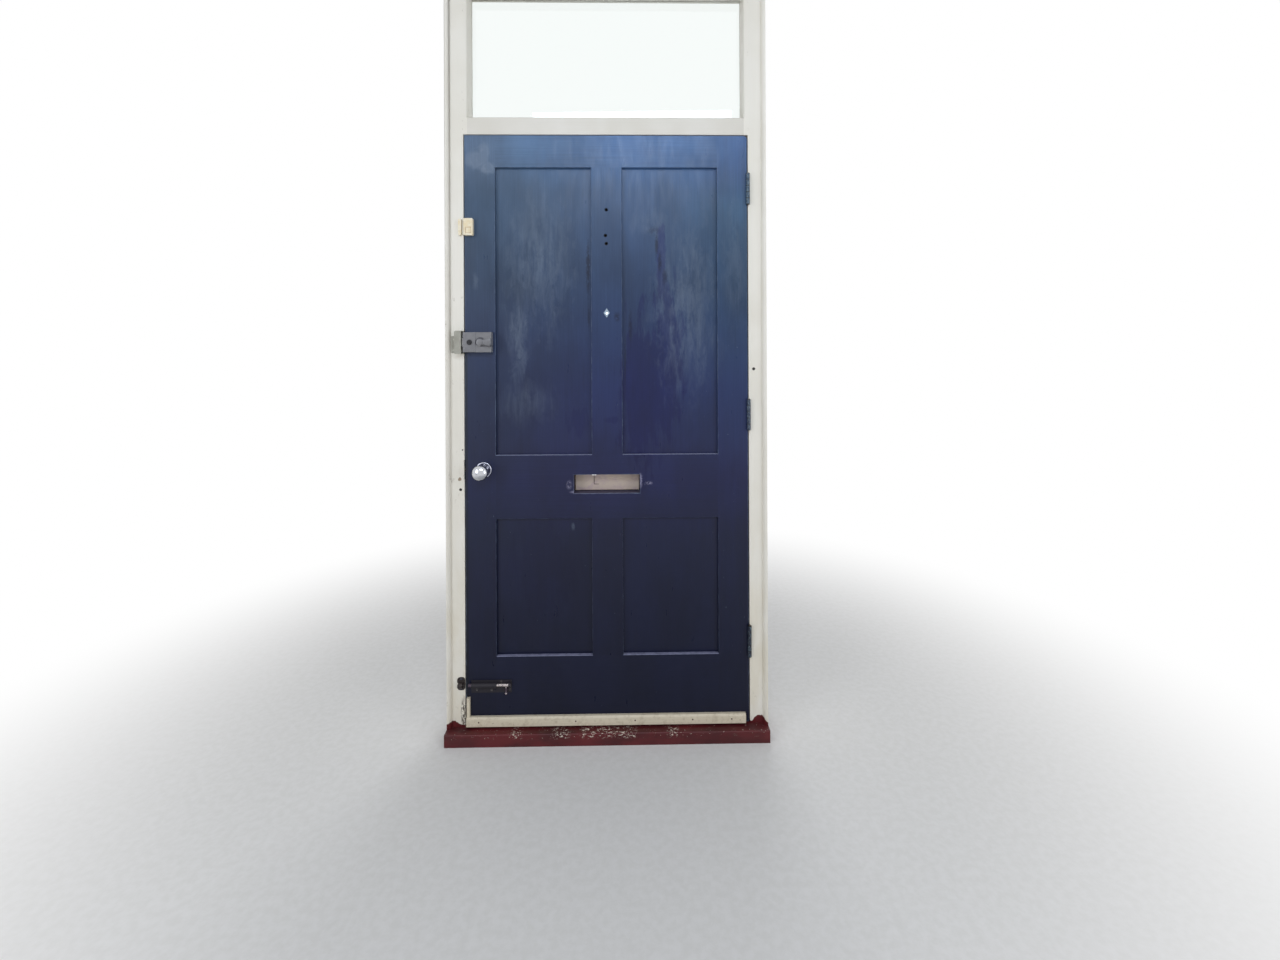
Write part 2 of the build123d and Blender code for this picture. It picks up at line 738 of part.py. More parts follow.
def hinge_cuts(side):
    """All recesses and screw holes for the hinge leaves on one side of the gap."""
    tools = []
    for middle in HINGE_HEIGHTS.values():
        tools.append(hinge_plate_block(middle, side))
        tools += at_each(hinge_screw_places(middle, side), screw(SCREW_FIT))
    return tools


def hinge_screws(side):
    """All hinge screws on one side of the gap."""
    found = []
    for middle in HINGE_HEIGHTS.values():
        found += at_each(hinge_screw_places(middle, side), screw())
    return found


# Nightlatch
def nightlatch_outline(wall):
    """The case's plan, stepped down beyond the snib; a wall thickness gives the plan of its hollow."""
    x0 = LOCK_EDGE + wall
    x1 = LOCK_EDGE + NIGHTLATCH_WIDTH - wall
    step_x = LOCK_EDGE + NIGHTLATCH_STEP_AT - wall
    front = NIGHTLATCH_FRONT + wall
    back = ROOM - NIGHTLATCH_PLATE
    low_front = front + NIGHTLATCH_STEP
    return [(x0, back), (x0, front), (step_x, front), (step_x, low_front), (x1, low_front), (x1, back)]


def nightlatch_case():
    """The hollow case, open at its back, with holes for the bolt, the lever and the snib."""
    half = NIGHTLATCH_HEIGHT / 2
    body = prism_z(nightlatch_outline(0.0), NIGHTLATCH_Z - half, NIGHTLATCH_Z + half)
    front_band = (NIGHTLATCH_FRONT - EDGE_BAND, NIGHTLATCH_FRONT + EDGE_BAND)
    front = body.edges().filter_by_position(Axis.Y, *front_band)
    body = fillet(front, NIGHTLATCH_ROUND)
    inner = half - NIGHTLATCH_WALL
    body = body - prism_z(nightlatch_outline(NIGHTLATCH_WALL), NIGHTLATCH_Z - inner, NIGHTLATCH_Z + inner)
    thick = NIGHTLATCH_BOLT_THICK / 2 + ROD_FIT
    tall = NIGHTLATCH_BOLT_HEIGHT / 2 + ROD_FIT
    body = body - block(
        LOCK_EDGE,
        LOCK_EDGE + NIGHTLATCH_WALL,
        NIGHTLATCH_BOLT_Y - thick,
        NIGHTLATCH_BOLT_Y + thick,
        NIGHTLATCH_Z - tall,
        NIGHTLATCH_Z + tall,
    )
    body = body - rod_y(LEVER_HUB_R + PLUG_FIT, NIGHTLATCH_FRONT, ROOM, CYLINDER_X, NIGHTLATCH_Z)
    slot_r = SNIB_STEM_R + ROD_FIT
    slot = rounded_plate(
        2 * slot_r,
        2 * slot_r + SNIB_TRAVEL,
        slot_r - ROUND_END_EASE,
        NIGHTLATCH_FRONT,
        NIGHTLATCH_FRONT + NIGHTLATCH_WALL,
        LOCK_EDGE + SNIB_BACKSET,
        NIGHTLATCH_Z + SNIB_TRAVEL / 2,
    )
    return body - slot


def nightlatch_plate_screws():
    """The three screws that hold the mounting plate to the stile."""
    x0 = LOCK_EDGE + NIGHTLATCH_PLATE_IN
    rise = NIGHTLATCH_HEIGHT / 2 - 2 * NIGHTLATCH_WALL - SCREW_HEAD_R
    near = x0 + PLATE_SCREW_NEAR_IN
    far = x0 + PLATE_SCREW_FAR_IN
    places = ((near, rise), (near, -rise), (far, -rise))
    return [Pos(x, ROOM - NIGHTLATCH_PLATE, NIGHTLATCH_Z + z) * INTO_LEAF for x, z in places]


def cylinder_screw_places():
    """The two long screws that clamp the rim cylinder through the mounting plate."""
    return [(CYLINDER_X, NIGHTLATCH_Z + way * CYLINDER_SCREW_OUT) for way in (-1, 1)]


def nightlatch_plate():
    """The mounting plate behind the case."""
    x0 = LOCK_EDGE + NIGHTLATCH_PLATE_IN
    x1 = LOCK_EDGE + NIGHTLATCH_WIDTH - NIGHTLATCH_PLATE_IN
    half = NIGHTLATCH_HEIGHT / 2 - NIGHTLATCH_PLATE_IN
    body = block(x0, x1, ROOM - NIGHTLATCH_PLATE, ROOM, NIGHTLATCH_Z - half, NIGHTLATCH_Z + half)
    body = body - rod_y(PLUG_R, ROOM - NIGHTLATCH_PLATE, ROOM, CYLINDER_X, NIGHTLATCH_Z)
    for x, z in cylinder_screw_places():
        body = body - rod_y(CYLINDER_SCREW_R + SCREW_FIT, ROOM - NIGHTLATCH_PLATE, ROOM, x, z)
    return cut(body, at_each(nightlatch_plate_screws(), screw(SCREW_FIT)))


def cylinder_screws(fit=0.0):
    """The long screws into the rim cylinder, or their holes in it when given a fit."""
    head_y = ROOM - NIGHTLATCH_PLATE
    tip_y = LEAF_BACK - CYLINDER_LONG + CYLINDER_SCREW_IN
    radius = CYLINDER_SCREW_R + fit
    shanks = [rod_y(radius, head_y, tip_y + fit, x, z) for x, z in cylinder_screw_places()]
    if fit:
        return shanks
    head = NIGHTLATCH_PLATE
    return [
        shank + rod_y(SCREW_HEAD_R, head_y - head, head_y, x, z)
        for shank, (x, z) in zip(shanks, cylinder_screw_places())
    ]


def nightlatch_bolt():
    """The sprung bolt, bevelled on the side that meets the keeper as the leaf shuts."""
    nose = LOCK_EDGE - NIGHTLATCH_BOLT_OUT
    tail = LOCK_EDGE + NIGHTLATCH_BOLT_IN
    y0 = NIGHTLATCH_BOLT_Y - NIGHTLATCH_BOLT_THICK / 2
    y1 = NIGHTLATCH_BOLT_Y + NIGHTLATCH_BOLT_THICK / 2
    bevel = NIGHTLATCH_BOLT_BEVEL
    plan = [(tail, y0), (nose, y0), (nose, y1 - bevel), (nose + bevel, y1), (tail, y1)]
    half = NIGHTLATCH_BOLT_HEIGHT / 2
    return prism_z(plan, NIGHTLATCH_Z - half, NIGHTLATCH_Z + half)


def nightlatch_lever():
    """The turn lever: a hub in the case, a round boss and a paddle that widens towards its end."""
    face = NIGHTLATCH_FRONT + NIGHTLATCH_STEP - ROD_FIT
    front = face - LEVER_BOSS
    hub_end = ROOM - NIGHTLATCH_PLATE - NIGHTLATCH_BOLT_PROUD + NIGHTLATCH_BOLT_THICK / 2
    body = rod_y(LEVER_HUB_R, face, hub_end, CYLINDER_X, NIGHTLATCH_Z)
    body = body + rod_y(LEVER_BOSS_R, front, face, CYLINDER_X, NIGHTLATCH_Z)
    root = LEVER_ROOT / 2
    wide = LEVER_HEIGHT / 2
    tip = CYLINDER_X + LEVER_REACH
    outline = [
        (CYLINDER_X, NIGHTLATCH_Z - root),
        (tip - LEVER_EASE, NIGHTLATCH_Z - wide),
        (tip, NIGHTLATCH_Z - wide + LEVER_EASE),
        (tip, NIGHTLATCH_Z + wide - LEVER_EASE),
        (tip - LEVER_EASE, NIGHTLATCH_Z + wide),
        (CYLINDER_X, NIGHTLATCH_Z + root),
    ]
    body = body + prism_y(outline, front, front + LEVER_THICK)
    return body - rod_y(LEVER_BORE_R, face, hub_end, CYLINDER_X, NIGHTLATCH_Z)


def nightlatch_snib():
    """The snib button, its stem through the case and the flange that keeps it in."""
    x = LOCK_EDGE + SNIB_BACKSET
    front = NIGHTLATCH_FRONT - ROD_FIT
    inner = NIGHTLATCH_FRONT + NIGHTLATCH_WALL + ROD_FIT
    body = rod_y(SNIB_R, front - SNIB_THICK, front, x, NIGHTLATCH_Z)
    body = body + rod_y(SNIB_STEM_R, front, inner, x, NIGHTLATCH_Z)
    return body + rod_y(SNIB_FLANGE_R, inner, inner + SNIB_FLANGE, x, NIGHTLATCH_Z)


def rim_cylinder():
    """The cylinder's body and its outside ring, bored for the plug."""
    back = LEAF_BACK - CYLINDER_LONG
    front = LEAF_BACK + CYLINDER_RING
    body = rod_y(CYLINDER_R, back, LEAF_BACK, CYLINDER_X, NIGHTLATCH_Z)
    body = body + rod_y(CYLINDER_RING_R, LEAF_BACK, front, CYLINDER_X, NIGHTLATCH_Z)
    body = body - rod_y(PLUG_R + PLUG_FIT, back, front, CYLINDER_X, NIGHTLATCH_Z)
    return cut(body, cylinder_screws(SCREW_FIT))


def cylinder_plug():
    """The key plug and the flat tail that reaches into the lever's hub."""
    back = LEAF_BACK - CYLINDER_LONG
    body = rod_y(PLUG_R, back, LEAF_BACK + CYLINDER_RING, CYLINDER_X, NIGHTLATCH_Z)
    tail_end = NIGHTLATCH_FRONT + NIGHTLATCH_STEP + NIGHTLATCH_WALL
    return body + block(
        CYLINDER_X - TAIL_WIDE / 2,
        CYLINDER_X + TAIL_WIDE / 2,
        tail_end,
        back,
        NIGHTLATCH_Z - TAIL_THICK / 2,
        NIGHTLATCH_Z + TAIL_THICK / 2,
    )


# Nightlatch keeper
KEEPER_RIGHT = LOCK_EDGE - KEEPER_GAP
KEEPER_LEFT = KEEPER_RIGHT - KEEPER_WIDTH


def keeper_screw_places():
    """Two screws through the flange and two through the return in the rebate."""
    flange_z = NIGHTLATCH_Z - KEEPER_FLANGE_DROP
    flange_x = KEEPER_LEFT - (KEEPER_FLANGE_OUT - KEEPER_WIDTH) / 2
    flange = [
        Pos(flange_x, ROOM - KEEPER_BASE, flange_z + way * KEEPER_SCREW_PITCH / 2) * INTO_LEAF
        for way in (-1, 1)
    ]
    returned = [
        Pos(-REBATE_HALF, ROOM + KEEPER_RETURN_SCREW_IN, NIGHTLATCH_Z + way * KEEPER_SCREW_PITCH / 2)
        * HEAD_TO_HINGES
        for way in (-1, 1)
    ]
    return flange + returned


def keeper_return():
    """The part of the keeper's base that turns into the rebate, let in flush."""
    half = KEEPER_HEIGHT / 2
    x0 = -REBATE_HALF - KEEPER_BASE
    return block(x0, -REBATE_HALF, ROOM, ROOM + KEEPER_RETURN_IN, NIGHTLATCH_Z - half, NIGHTLATCH_Z + half)


def nightlatch_keeper():
    """The keeper: a box open towards the leaf, a flange on the jamb's face and a return in the rebate."""
    half = KEEPER_HEIGHT / 2
    front = ROOM - KEEPER_DEEP
    body = block(KEEPER_LEFT, KEEPER_RIGHT, front, ROOM, NIGHTLATCH_Z - half, NIGHTLATCH_Z + half)
    left_band = (KEEPER_LEFT - EDGE_BAND, KEEPER_LEFT + EDGE_BAND)
    left = body.edges().filter_by(Axis.Y).filter_by_position(Axis.X, *left_band)
    body = fillet(left, KEEPER_ROUND)
    body = body - block(
        KEEPER_LEFT + KEEPER_WALL,
        KEEPER_RIGHT,
        front + KEEPER_WALL,
        ROOM - KEEPER_BASE,
        NIGHTLATCH_Z - half + KEEPER_WALL,
        NIGHTLATCH_Z + half - KEEPER_WALL,
    )
    base = ROOM - KEEPER_BASE
    body = body + block(KEEPER_RIGHT, -REBATE_HALF, base, ROOM, NIGHTLATCH_Z - half, NIGHTLATCH_Z + half)
    tall = KEEPER_FLANGE_HEIGHT / 2
    flange_z = NIGHTLATCH_Z - KEEPER_FLANGE_DROP
    flange_left = KEEPER_RIGHT - KEEPER_FLANGE_OUT
    body = body + block(flange_left, KEEPER_LEFT, base, ROOM, flange_z - tall, flange_z + tall)
    body = body + keeper_return()
    return cut(body, at_each(keeper_screw_places(), screw(SCREW_FIT)))


# Knob set and mortice latch
def rose(face, way):
    """A round rose with a raised rim, a dished ring and a collar round the knob's neck."""
    bore = KNOB_WAIST_R + KNOB_FIT
    dish = ROSE_THICK - ROSE_DISH
    rim = ROSE_R - ROSE_RIM
    corners = [
        (bore, 0.0),
        (ROSE_R, 0.0),
        (ROSE_R, ROSE_THICK - ROSE_RIM / 2),
        (ROSE_R - ROSE_RIM / 2, ROSE_THICK),
        (rim, ROSE_THICK),
        (rim - ROSE_DISH / 2, dish),
        (bore + ROSE_COLLAR, dish),
        (bore + ROSE_COLLAR_TOP, ROSE_THICK - ROSE_COLLAR_DOWN),
        (bore, ROSE_THICK - ROSE_COLLAR_DOWN),
    ]
    return Pos(KNOB_X, face, KNOB_Z) * Rot(way * 90, 0, 0) * turned(Polyline(*corners, close=True))


def knob(face, way):
    """A round knob: a straight neck that flares out to a full edge and a domed front."""
    foot = KNOB_FOOT
    flare_foot = ROSE_THICK + KNOB_NECK
    neck = Line((0.0, foot), (KNOB_WAIST_R, foot)) + Line((KNOB_WAIST_R, foot), (KNOB_WAIST_R, flare_foot))
    flare = Spline(
        (KNOB_WAIST_R, flare_foot), (KNOB_R, KNOB_WIDEST_OUT), tangents=((0.0, 1.0), (0.0, 1.0))
    )
    dome = Spline((KNOB_R, KNOB_WIDEST_OUT), (0.0, KNOB_OUT), tangents=((0.0, 1.0), (-1.0, 0.0)))
    axis = Line((0.0, KNOB_OUT), (0.0, foot))
    body = turned(neck + flare + dome + axis)
    half = SPINDLE / 2
    body = body - block(-half, half, -half, half, foot, foot + SPINDLE_GRIP)
    return Pos(KNOB_X, face, KNOB_Z) * Rot(way * 90, 0, 0) * body


def spindle():
    """The square spindle that joins both knobs through the latch."""
    half = SPINDLE / 2
    y0 = ROOM - SPINDLE_GRIP
    y1 = LEAF_BACK + SPINDLE_GRIP
    return block(KNOB_X - half, KNOB_X + half, y0, y1, KNOB_Z - half, KNOB_Z + half)


def forend_block():
    """The fore-end's plain outline, which is also its recess in the leaf's edge."""
    wide = FOREND_WIDTH / 2
    tall = FOREND_HEIGHT / 2
    return block(
        LOCK_EDGE,
        LOCK_EDGE + FOREND_THICK,
        LEAF_MIDDLE - wide,
        LEAF_MIDDLE + wide,
        KNOB_Z - tall,
        KNOB_Z + tall,
    )


def forend_screw_places():
    """The two screws of the fore-end."""
    return [
        Pos(LOCK_EDGE, LEAF_MIDDLE, KNOB_Z + way * FOREND_SCREW_PITCH / 2) * HEAD_TO_LOCK for way in (-1, 1)
    ]


def latch_case():
    """The tubular latch case with its fore-end, hollow for the bolt and crossed by the spindle's hole."""
    body = forend_block()
    tube = rod_x(LATCH_CASE_R, LOCK_EDGE + FOREND_THICK, LOCK_EDGE + LATCH_CASE_LONG, LEAF_MIDDLE, KNOB_Z)
    body = body + tube
    thick = LATCH_BOLT_THICK / 2 + LATCH_FIT
    tall = LATCH_BOLT_HEIGHT / 2 + LATCH_FIT
    hollow_end = LOCK_EDGE + LATCH_BOLT_IN + LATCH_BOLT_OUT + LATCH_FIT
    hollow = block(
        LOCK_EDGE, hollow_end, LEAF_MIDDLE - thick, LEAF_MIDDLE + thick, KNOB_Z - tall, KNOB_Z + tall
    )
    crossing = rod_y(SPINDLE_CROSSING_R, ROOM, LEAF_BACK, KNOB_X, KNOB_Z)
    return cut(body, [hollow, crossing] + at_each(forend_screw_places(), screw(SCREW_FIT)))


def latch_bolt():
    """The sprung latch bolt, bevelled on the side that meets the strike as the leaf shuts."""
    nose = LOCK_EDGE - LATCH_BOLT_OUT
    tail = LOCK_EDGE + LATCH_BOLT_IN
    y0 = LEAF_MIDDLE - LATCH_BOLT_THICK / 2
    y1 = LEAF_MIDDLE + LATCH_BOLT_THICK / 2
    bevel = LATCH_BOLT_BEVEL
    plan = [(tail, y0), (nose, y0), (nose, y1 - bevel), (nose + bevel, y1), (tail, y1)]
    half = LATCH_BOLT_HEIGHT / 2
    return prism_z(plan, KNOB_Z - half, KNOB_Z + half)


def strike_block():
    """The strike's plain outline, which is also its recess in the rebate."""
    half = FOREND_HEIGHT / 2 + STRIKE_MARGIN
    y1 = LEAF_MIDDLE + FOREND_WIDTH / 2
    return block(-REBATE_HALF - STRIKE_THICK, -REBATE_HALF, ROOM, y1, KNOB_Z - half, KNOB_Z + half)


def strike_pocket(x0):
    """The hole that takes the latch bolt, through the strike and into the jamb."""
    thick = LATCH_BOLT_THICK / 2 + STRIKE_SIDE_FIT
    tall = LATCH_BOLT_HEIGHT / 2 + STRIKE_END_FIT
    return block(
        x0, -REBATE_HALF, LEAF_MIDDLE - thick, LEAF_MIDDLE + thick, KNOB_Z - tall, KNOB_Z + tall
    )


def strike_screw_places():
    """The two screws of the strike."""
    return [
        Pos(-REBATE_HALF, LEAF_MIDDLE, KNOB_Z + way * FOREND_SCREW_PITCH / 2) * HEAD_TO_HINGES
        for way in (-1, 1)
    ]


def latch_strike():
    """The strike plate, let in flush on the lock-side jamb."""
    body = strike_block() - strike_pocket(-REBATE_HALF - STRIKE_THICK)
    return cut(body, at_each(strike_screw_places(), screw(SCREW_FIT)))


# Letter slot
SLOT_HALF = SLOT_WIDTH / 2
SLOT_TOP = SLOT_Z + SLOT_HEIGHT / 2
SLOT_FOOT = SLOT_Z - SLOT_HEIGHT / 2
FLAP_HALF = SLOT_HALF - FLAP_PLAY
FLAP_AXIS_Y = LEAF_BACK - FLAP_BACK_GAP - FLAP_BARREL_R
FLAP_AXIS_Z = SLOT_TOP - FLAP_AXIS_DOWN
FLAP_FRONT = LEAF_BACK - FLAP_BACK_GAP - FLAP_THICK


def letter_slot():
    """The slot through the lock rail."""
    return block(SLOT_X - SLOT_HALF, SLOT_X + SLOT_HALF, ROOM, LEAF_BACK, SLOT_FOOT, SLOT_TOP)


def stud_places():
    """Where the letter plate's two studs cross the lock rail."""
    return [SLOT_X + way * STUD_X for way in (-1, 1)]


def letter_plate():
    """The outside plate with its aperture and the two ears that carry the flap."""
    width = SLOT_WIDTH + 2 * LETTER_PLATE_MARGIN
    height = SLOT_HEIGHT + 2 * LETTER_PLATE_LIP
    front = LEAF_BACK + LETTER_PLATE_THICK
    body = rounded_plate(width, height, LETTER_PLATE_ROUND, LEAF_BACK, front, SLOT_X, SLOT_Z)
    rim = body.faces().sort_by(Axis.Y)[-1].edges()
    body = chamfer(rim, LETTER_PLATE_THICK / 4)
    body = body - block(
        SLOT_X - SLOT_HALF + APERTURE_IN,
        SLOT_X + SLOT_HALF - APERTURE_IN,
        LEAF_BACK,
        front,
        SLOT_FOOT + APERTURE_IN,
        SLOT_TOP - APERTURE_IN,
    )
    ear_y = FLAP_AXIS_Y - FLAP_BARREL_R
    tall = FLAP_BARREL_R + FLAP_BACK_GAP
    for way in (-1, 1):
        outer = SLOT_X + way * (SLOT_HALF - ROD_FIT)
        x0, x1 = sorted((outer, outer - way * EAR_THICK))
        body = body + block(x0, x1, ear_y, LEAF_BACK, FLAP_AXIS_Z - tall, FLAP_AXIS_Z + tall)
    bore = rod_x(FLAP_PIN_R + FLAP_PIN_FIT, SLOT_X - SLOT_HALF, SLOT_X + SLOT_HALF, FLAP_AXIS_Y, FLAP_AXIS_Z)
    return body - bore


def letter_flap():
    """The inward-swinging flap: a plate under a rolled barrel, with a pin that ends in both ears."""
    x0 = SLOT_X - FLAP_HALF
    x1 = SLOT_X + FLAP_HALF
    back = FLAP_FRONT + FLAP_THICK
    body = block(x0, x1, FLAP_FRONT, back, FLAP_AXIS_Z - FLAP_DROP, FLAP_AXIS_Z)
    body = body + rod_x(FLAP_BARREL_R, x0, x1, FLAP_AXIS_Y, FLAP_AXIS_Z)
    half = SPRING_COIL_LONG / 2 + ROD_FIT
    gap = block(
        SPRING_X - half,
        SPRING_X + half,
        FLAP_AXIS_Y - 2 * FLAP_BARREL_R,
        LEAF_BACK,
        FLAP_AXIS_Z - 2 * FLAP_BARREL_R,
        FLAP_AXIS_Z + FLAP_BARREL_R,
    )
    pin_half = SLOT_HALF - ROD_FIT - EAR_THICK / 4
    pin = rod_x(FLAP_PIN_R, SLOT_X - pin_half, SLOT_X + pin_half, FLAP_AXIS_Y, FLAP_AXIS_Z)
    return body - gap + pin


def flap_spring():
    """The flap's spring: its coil round the pin and an arm that lies on the flap and ends in a foot."""
    half = SPRING_COIL_LONG / 2
    inner = FLAP_PIN_R + FLAP_PIN_FIT
    outer = inner + 2 * SPRING_WIRE_R
    coil = rod_x(outer, SPRING_X - half, SPRING_X + half, FLAP_AXIS_Y, FLAP_AXIS_Z)
    wire_y = FLAP_FRONT - SPRING_WIRE_R
    foot_z = FLAP_AXIS_Z - SPRING_ARM_DROP
    arm = rod_z(SPRING_WIRE_R, foot_z, FLAP_AXIS_Z - inner, SPRING_X, wire_y)
    foot = rod_x(SPRING_WIRE_R, SPRING_X, SPRING_X + SPRING_FOOT, wire_y, foot_z)
    elbow = Pos(SPRING_X, wire_y, foot_z) * Sphere(SPRING_WIRE_R)
    bore = rod_x(inner, SPRING_X - half, SPRING_X + half, FLAP_AXIS_Y, FLAP_AXIS_Z)
    return coil + arm + foot + elbow - bore


def letter_bolts():
    """The letter plate's two studs, each with its nut on the room face."""
    found = []
    for x in stud_places():
        stud = rod_y(STUD_R, ROOM - STUD_PROUD, LEAF_BACK, x, SLOT_Z)
        hexagon = Pos(x, SLOT_Z) * RegularPolygon(NUT_R, NUT_SIDES)
        nut = extrude(Plane.XZ.offset(-ROOM) * hexagon, NUT_THICK)
        nut = nut - rod_y(STUD_R + PIN_FIT, ROOM - STUD_PROUD, ROOM, x, SLOT_Z)
        found += [stud, nut]
    return found


# Door viewer
def viewer_barrel():
    """The viewer: a diamond plate with a round eyepiece in the room, a tube and an outside flange."""
    wide = VIEWER_DIAMOND_WIDTH / 2
    tall = VIEWER_DIAMOND_HEIGHT / 2
    outline = [(-wide, VIEWER_Z), (0.0, VIEWER_Z - tall), (wide, VIEWER_Z), (0.0, VIEWER_Z + tall)]
    front = ROOM - VIEWER_DIAMOND_THICK
    body = prism_y(outline, front, ROOM) + rod_y(VIEWER_EYE_R, front - VIEWER_EYE, front, 0.0, VIEWER_Z)
    body = body + rod_y(VIEWER_R, ROOM, LEAF_BACK, 0.0, VIEWER_Z)
    outer = LEAF_BACK + VIEWER_FLANGE
    body = body + rod_y(VIEWER_FLANGE_R, LEAF_BACK, outer, 0.0, VIEWER_Z)
    return body - rod_y(VIEWER_BORE_R, front - VIEWER_EYE, outer, 0.0, VIEWER_Z)


def viewer_lens():
    """The lens near the viewer's outside end."""
    outer = LEAF_BACK + VIEWER_FLANGE
    return rod_y(VIEWER_BORE_R - PIN_FIT / 2, outer - VIEWER_LENS, outer, 0.0, VIEWER_Z)


# Barrel bolt
def barrel_section(x0, x1):
    """A length of the barrel: round in front of the rod and straight down to the plate."""
    round_part = rod_x(BARREL_R, x0, x1, ROD_Y, BOLT_Z)
    cheeks = block(x0, x1, ROD_Y, BOLT_FACE, BOLT_Z - BARREL_R, BOLT_Z + BARREL_R)
    behind = block(x0, x1, BOLT_FACE, ROOM, BOLT_Z - BARREL_R, BOLT_Z + BARREL_R)
    return round_part - behind + cheeks


def bolt_screw_places():
    """The four screws that still hold the bolt's plate."""
    return [Pos(LOCK_EDGE + x, BOLT_FACE, BOLT_Z + z) * INTO_LEAF for x, z in BOLT_SCREWS]


def barrel_bolt_plate():
    """The bolt's plate with its barrel and end strap, bored for the rod."""
    x0 = LOCK_EDGE + BOLT_PLATE_LEFT
    x1 = x0 + BOLT_PLATE_LONG
    z0 = BOLT_Z - BOLT_PLATE_DOWN
    body = block(x0, x1, BOLT_FACE, ROOM, z0, z0 + BOLT_PLATE_HEIGHT)
    barrel_x = LOCK_EDGE + BARREL_LEFT
    strap_x = LOCK_EDGE + STRAP_AT - STRAP_WIDE / 2
    body = body + barrel_section(barrel_x, barrel_x + BARREL_LONG)
    body = body + barrel_section(strap_x, strap_x + STRAP_WIDE)
    body = body - rod_x(ROD_R + ROD_FIT, x0, x1, ROD_Y, BOLT_Z)
    empty_x, empty_z = BOLT_EMPTY_HOLE
    empty = Pos(LOCK_EDGE + empty_x, BOLT_FACE, BOLT_Z + empty_z) * INTO_LEAF
    return cut(body, at_each(bolt_screw_places() + [empty], screw(SCREW_FIT)))


def barrel_bolt_rod():
    """The rod with its hanging handle and ball end."""
    x0 = LOCK_EDGE + ROD_NOSE
    x1 = LOCK_EDGE + ROD_TAIL
    body = rod_x(ROD_R, x0, x1, ROD_Y, BOLT_Z)
    body = chamfer(body.edges().sort_by(Axis.X)[:1], ROD_R / 4)
    handle_x = LOCK_EDGE + HANDLE_AT
    body = body + rod_z(HANDLE_R, BOLT_Z - HANDLE_DROP, BOLT_Z, handle_x, ROD_Y)
    return body + Pos(handle_x, ROD_Y, BOLT_Z - HANDLE_DROP) * Sphere(HANDLE_BALL_R)


BOLT_KEEPER_Z = BOLT_Z + BOLT_KEEPER_RISE


def bolt_keeper_screw_places():
    """The keeper's two screws, above and below its hoop."""
    x = -REBATE_HALF - BOLT_KEEPER_WIDTH / 2
    return [
        Pos(x, BOLT_FACE, BOLT_KEEPER_Z + way * BOLT_KEEPER_SCREW_OUT) * INTO_LEAF for way in (-1, 1)
    ]


def bolt_keeper():
    """The bolt's keeper on the jamb: a round-cornered plate under an arched strap that the rod runs into."""
    x1 = -REBATE_HALF
    x0 = x1 - BOLT_KEEPER_WIDTH
    middle = (x0 + x1) / 2
    body = rounded_plate(
        BOLT_KEEPER_WIDTH, BOLT_KEEPER_HEIGHT, BOLT_KEEPER_ROUND, BOLT_FACE, ROOM, middle, BOLT_KEEPER_Z
    )
    body = body - rod_y(HOOP_IN, BOLT_FACE, ROOM, x0 - HOOP_IN / 2, BOLT_KEEPER_Z)
    hoop_x = middle - HOOP_WIDE / 2
    round_part = rod_x(HOOP_R, hoop_x, hoop_x + HOOP_WIDE, ROD_Y, BOLT_Z)
    cheeks = block(hoop_x, hoop_x + HOOP_WIDE, ROD_Y, BOLT_FACE, BOLT_Z - HOOP_R, BOLT_Z + HOOP_R)
    behind = block(hoop_x, hoop_x + HOOP_WIDE, BOLT_FACE, ROOM + HOOP_R, BOLT_Z - HOOP_R, BOLT_Z + HOOP_R)
    body = body + (round_part - behind + cheeks)
    inside = ROD_R + HOOP_FIT
    body = body - rod_x(inside, x0, x1, ROD_Y, BOLT_Z)
    body = body - block(x0, x1, ROD_Y, BOLT_FACE, BOLT_Z - inside, BOLT_Z + inside)
    return cut(body, at_each(bolt_keeper_screw_places(), screw(SCREW_FIT)))


# Draught strip, corner fillet and alarm contact
STRIP_LEFT = LOCK_EDGE + STRIP_LEFT_IN
STRIP_LONG = HINGE_EDGE - STRIP_RIGHT_IN - STRIP_LEFT
STRIP_FOOT = FOOT + STRIP_UP
STRIP_TOP = STRIP_FOOT + STRIP_HEIGHT
STRIP_FRONT = ROOM - STRIP_THICK


def nails(fit=0.0):
    """The strip's nails, or the holes for their shanks when given a fit."""
    found = []
    z = (STRIP_FOOT + STRIP_TOP) / 2
    for share in NAIL_SHARES:
        x = STRIP_LEFT + share * STRIP_LONG
        shank = rod_y(NAIL_R + fit, STRIP_FRONT, STRIP_FRONT + NAIL_LONG + fit, x, z)
        if not fit:
            shank = shank + rod_y(NAIL_HEAD_R, STRIP_FRONT - NAIL_HEAD, STRIP_FRONT, x, z)
        found.append(shank)
    return found


def draught_strip():
    """The bevelled wooden strip nailed along the leaf's foot."""
    section = [
        (ROOM, STRIP_FOOT),
        (STRIP_FRONT, STRIP_FOOT),
        (STRIP_FRONT, STRIP_TOP - STRIP_BEVEL),
        (STRIP_FRONT + STRIP_BEVEL, STRIP_TOP),
        (ROOM, STRIP_TOP),
    ]
    return cut(prism_x(section, STRIP_LEFT, STRIP_LEFT + STRIP_LONG), nails(SCREW_FIT))


def corner_fillet():
    """A short upright fillet on the strip, beside the leaf's lock edge."""
    x1 = STRIP_LEFT + FILLET_WIDE
    body = block(STRIP_LEFT, x1, ROOM - FILLET_THICK, ROOM, STRIP_TOP, STRIP_TOP + FILLET_HEIGHT)
    front = body.edges().filter_by(Axis.Z).sort_by(Axis.Y)[:2]
    return chamfer(front, FILLET_ARRIS)


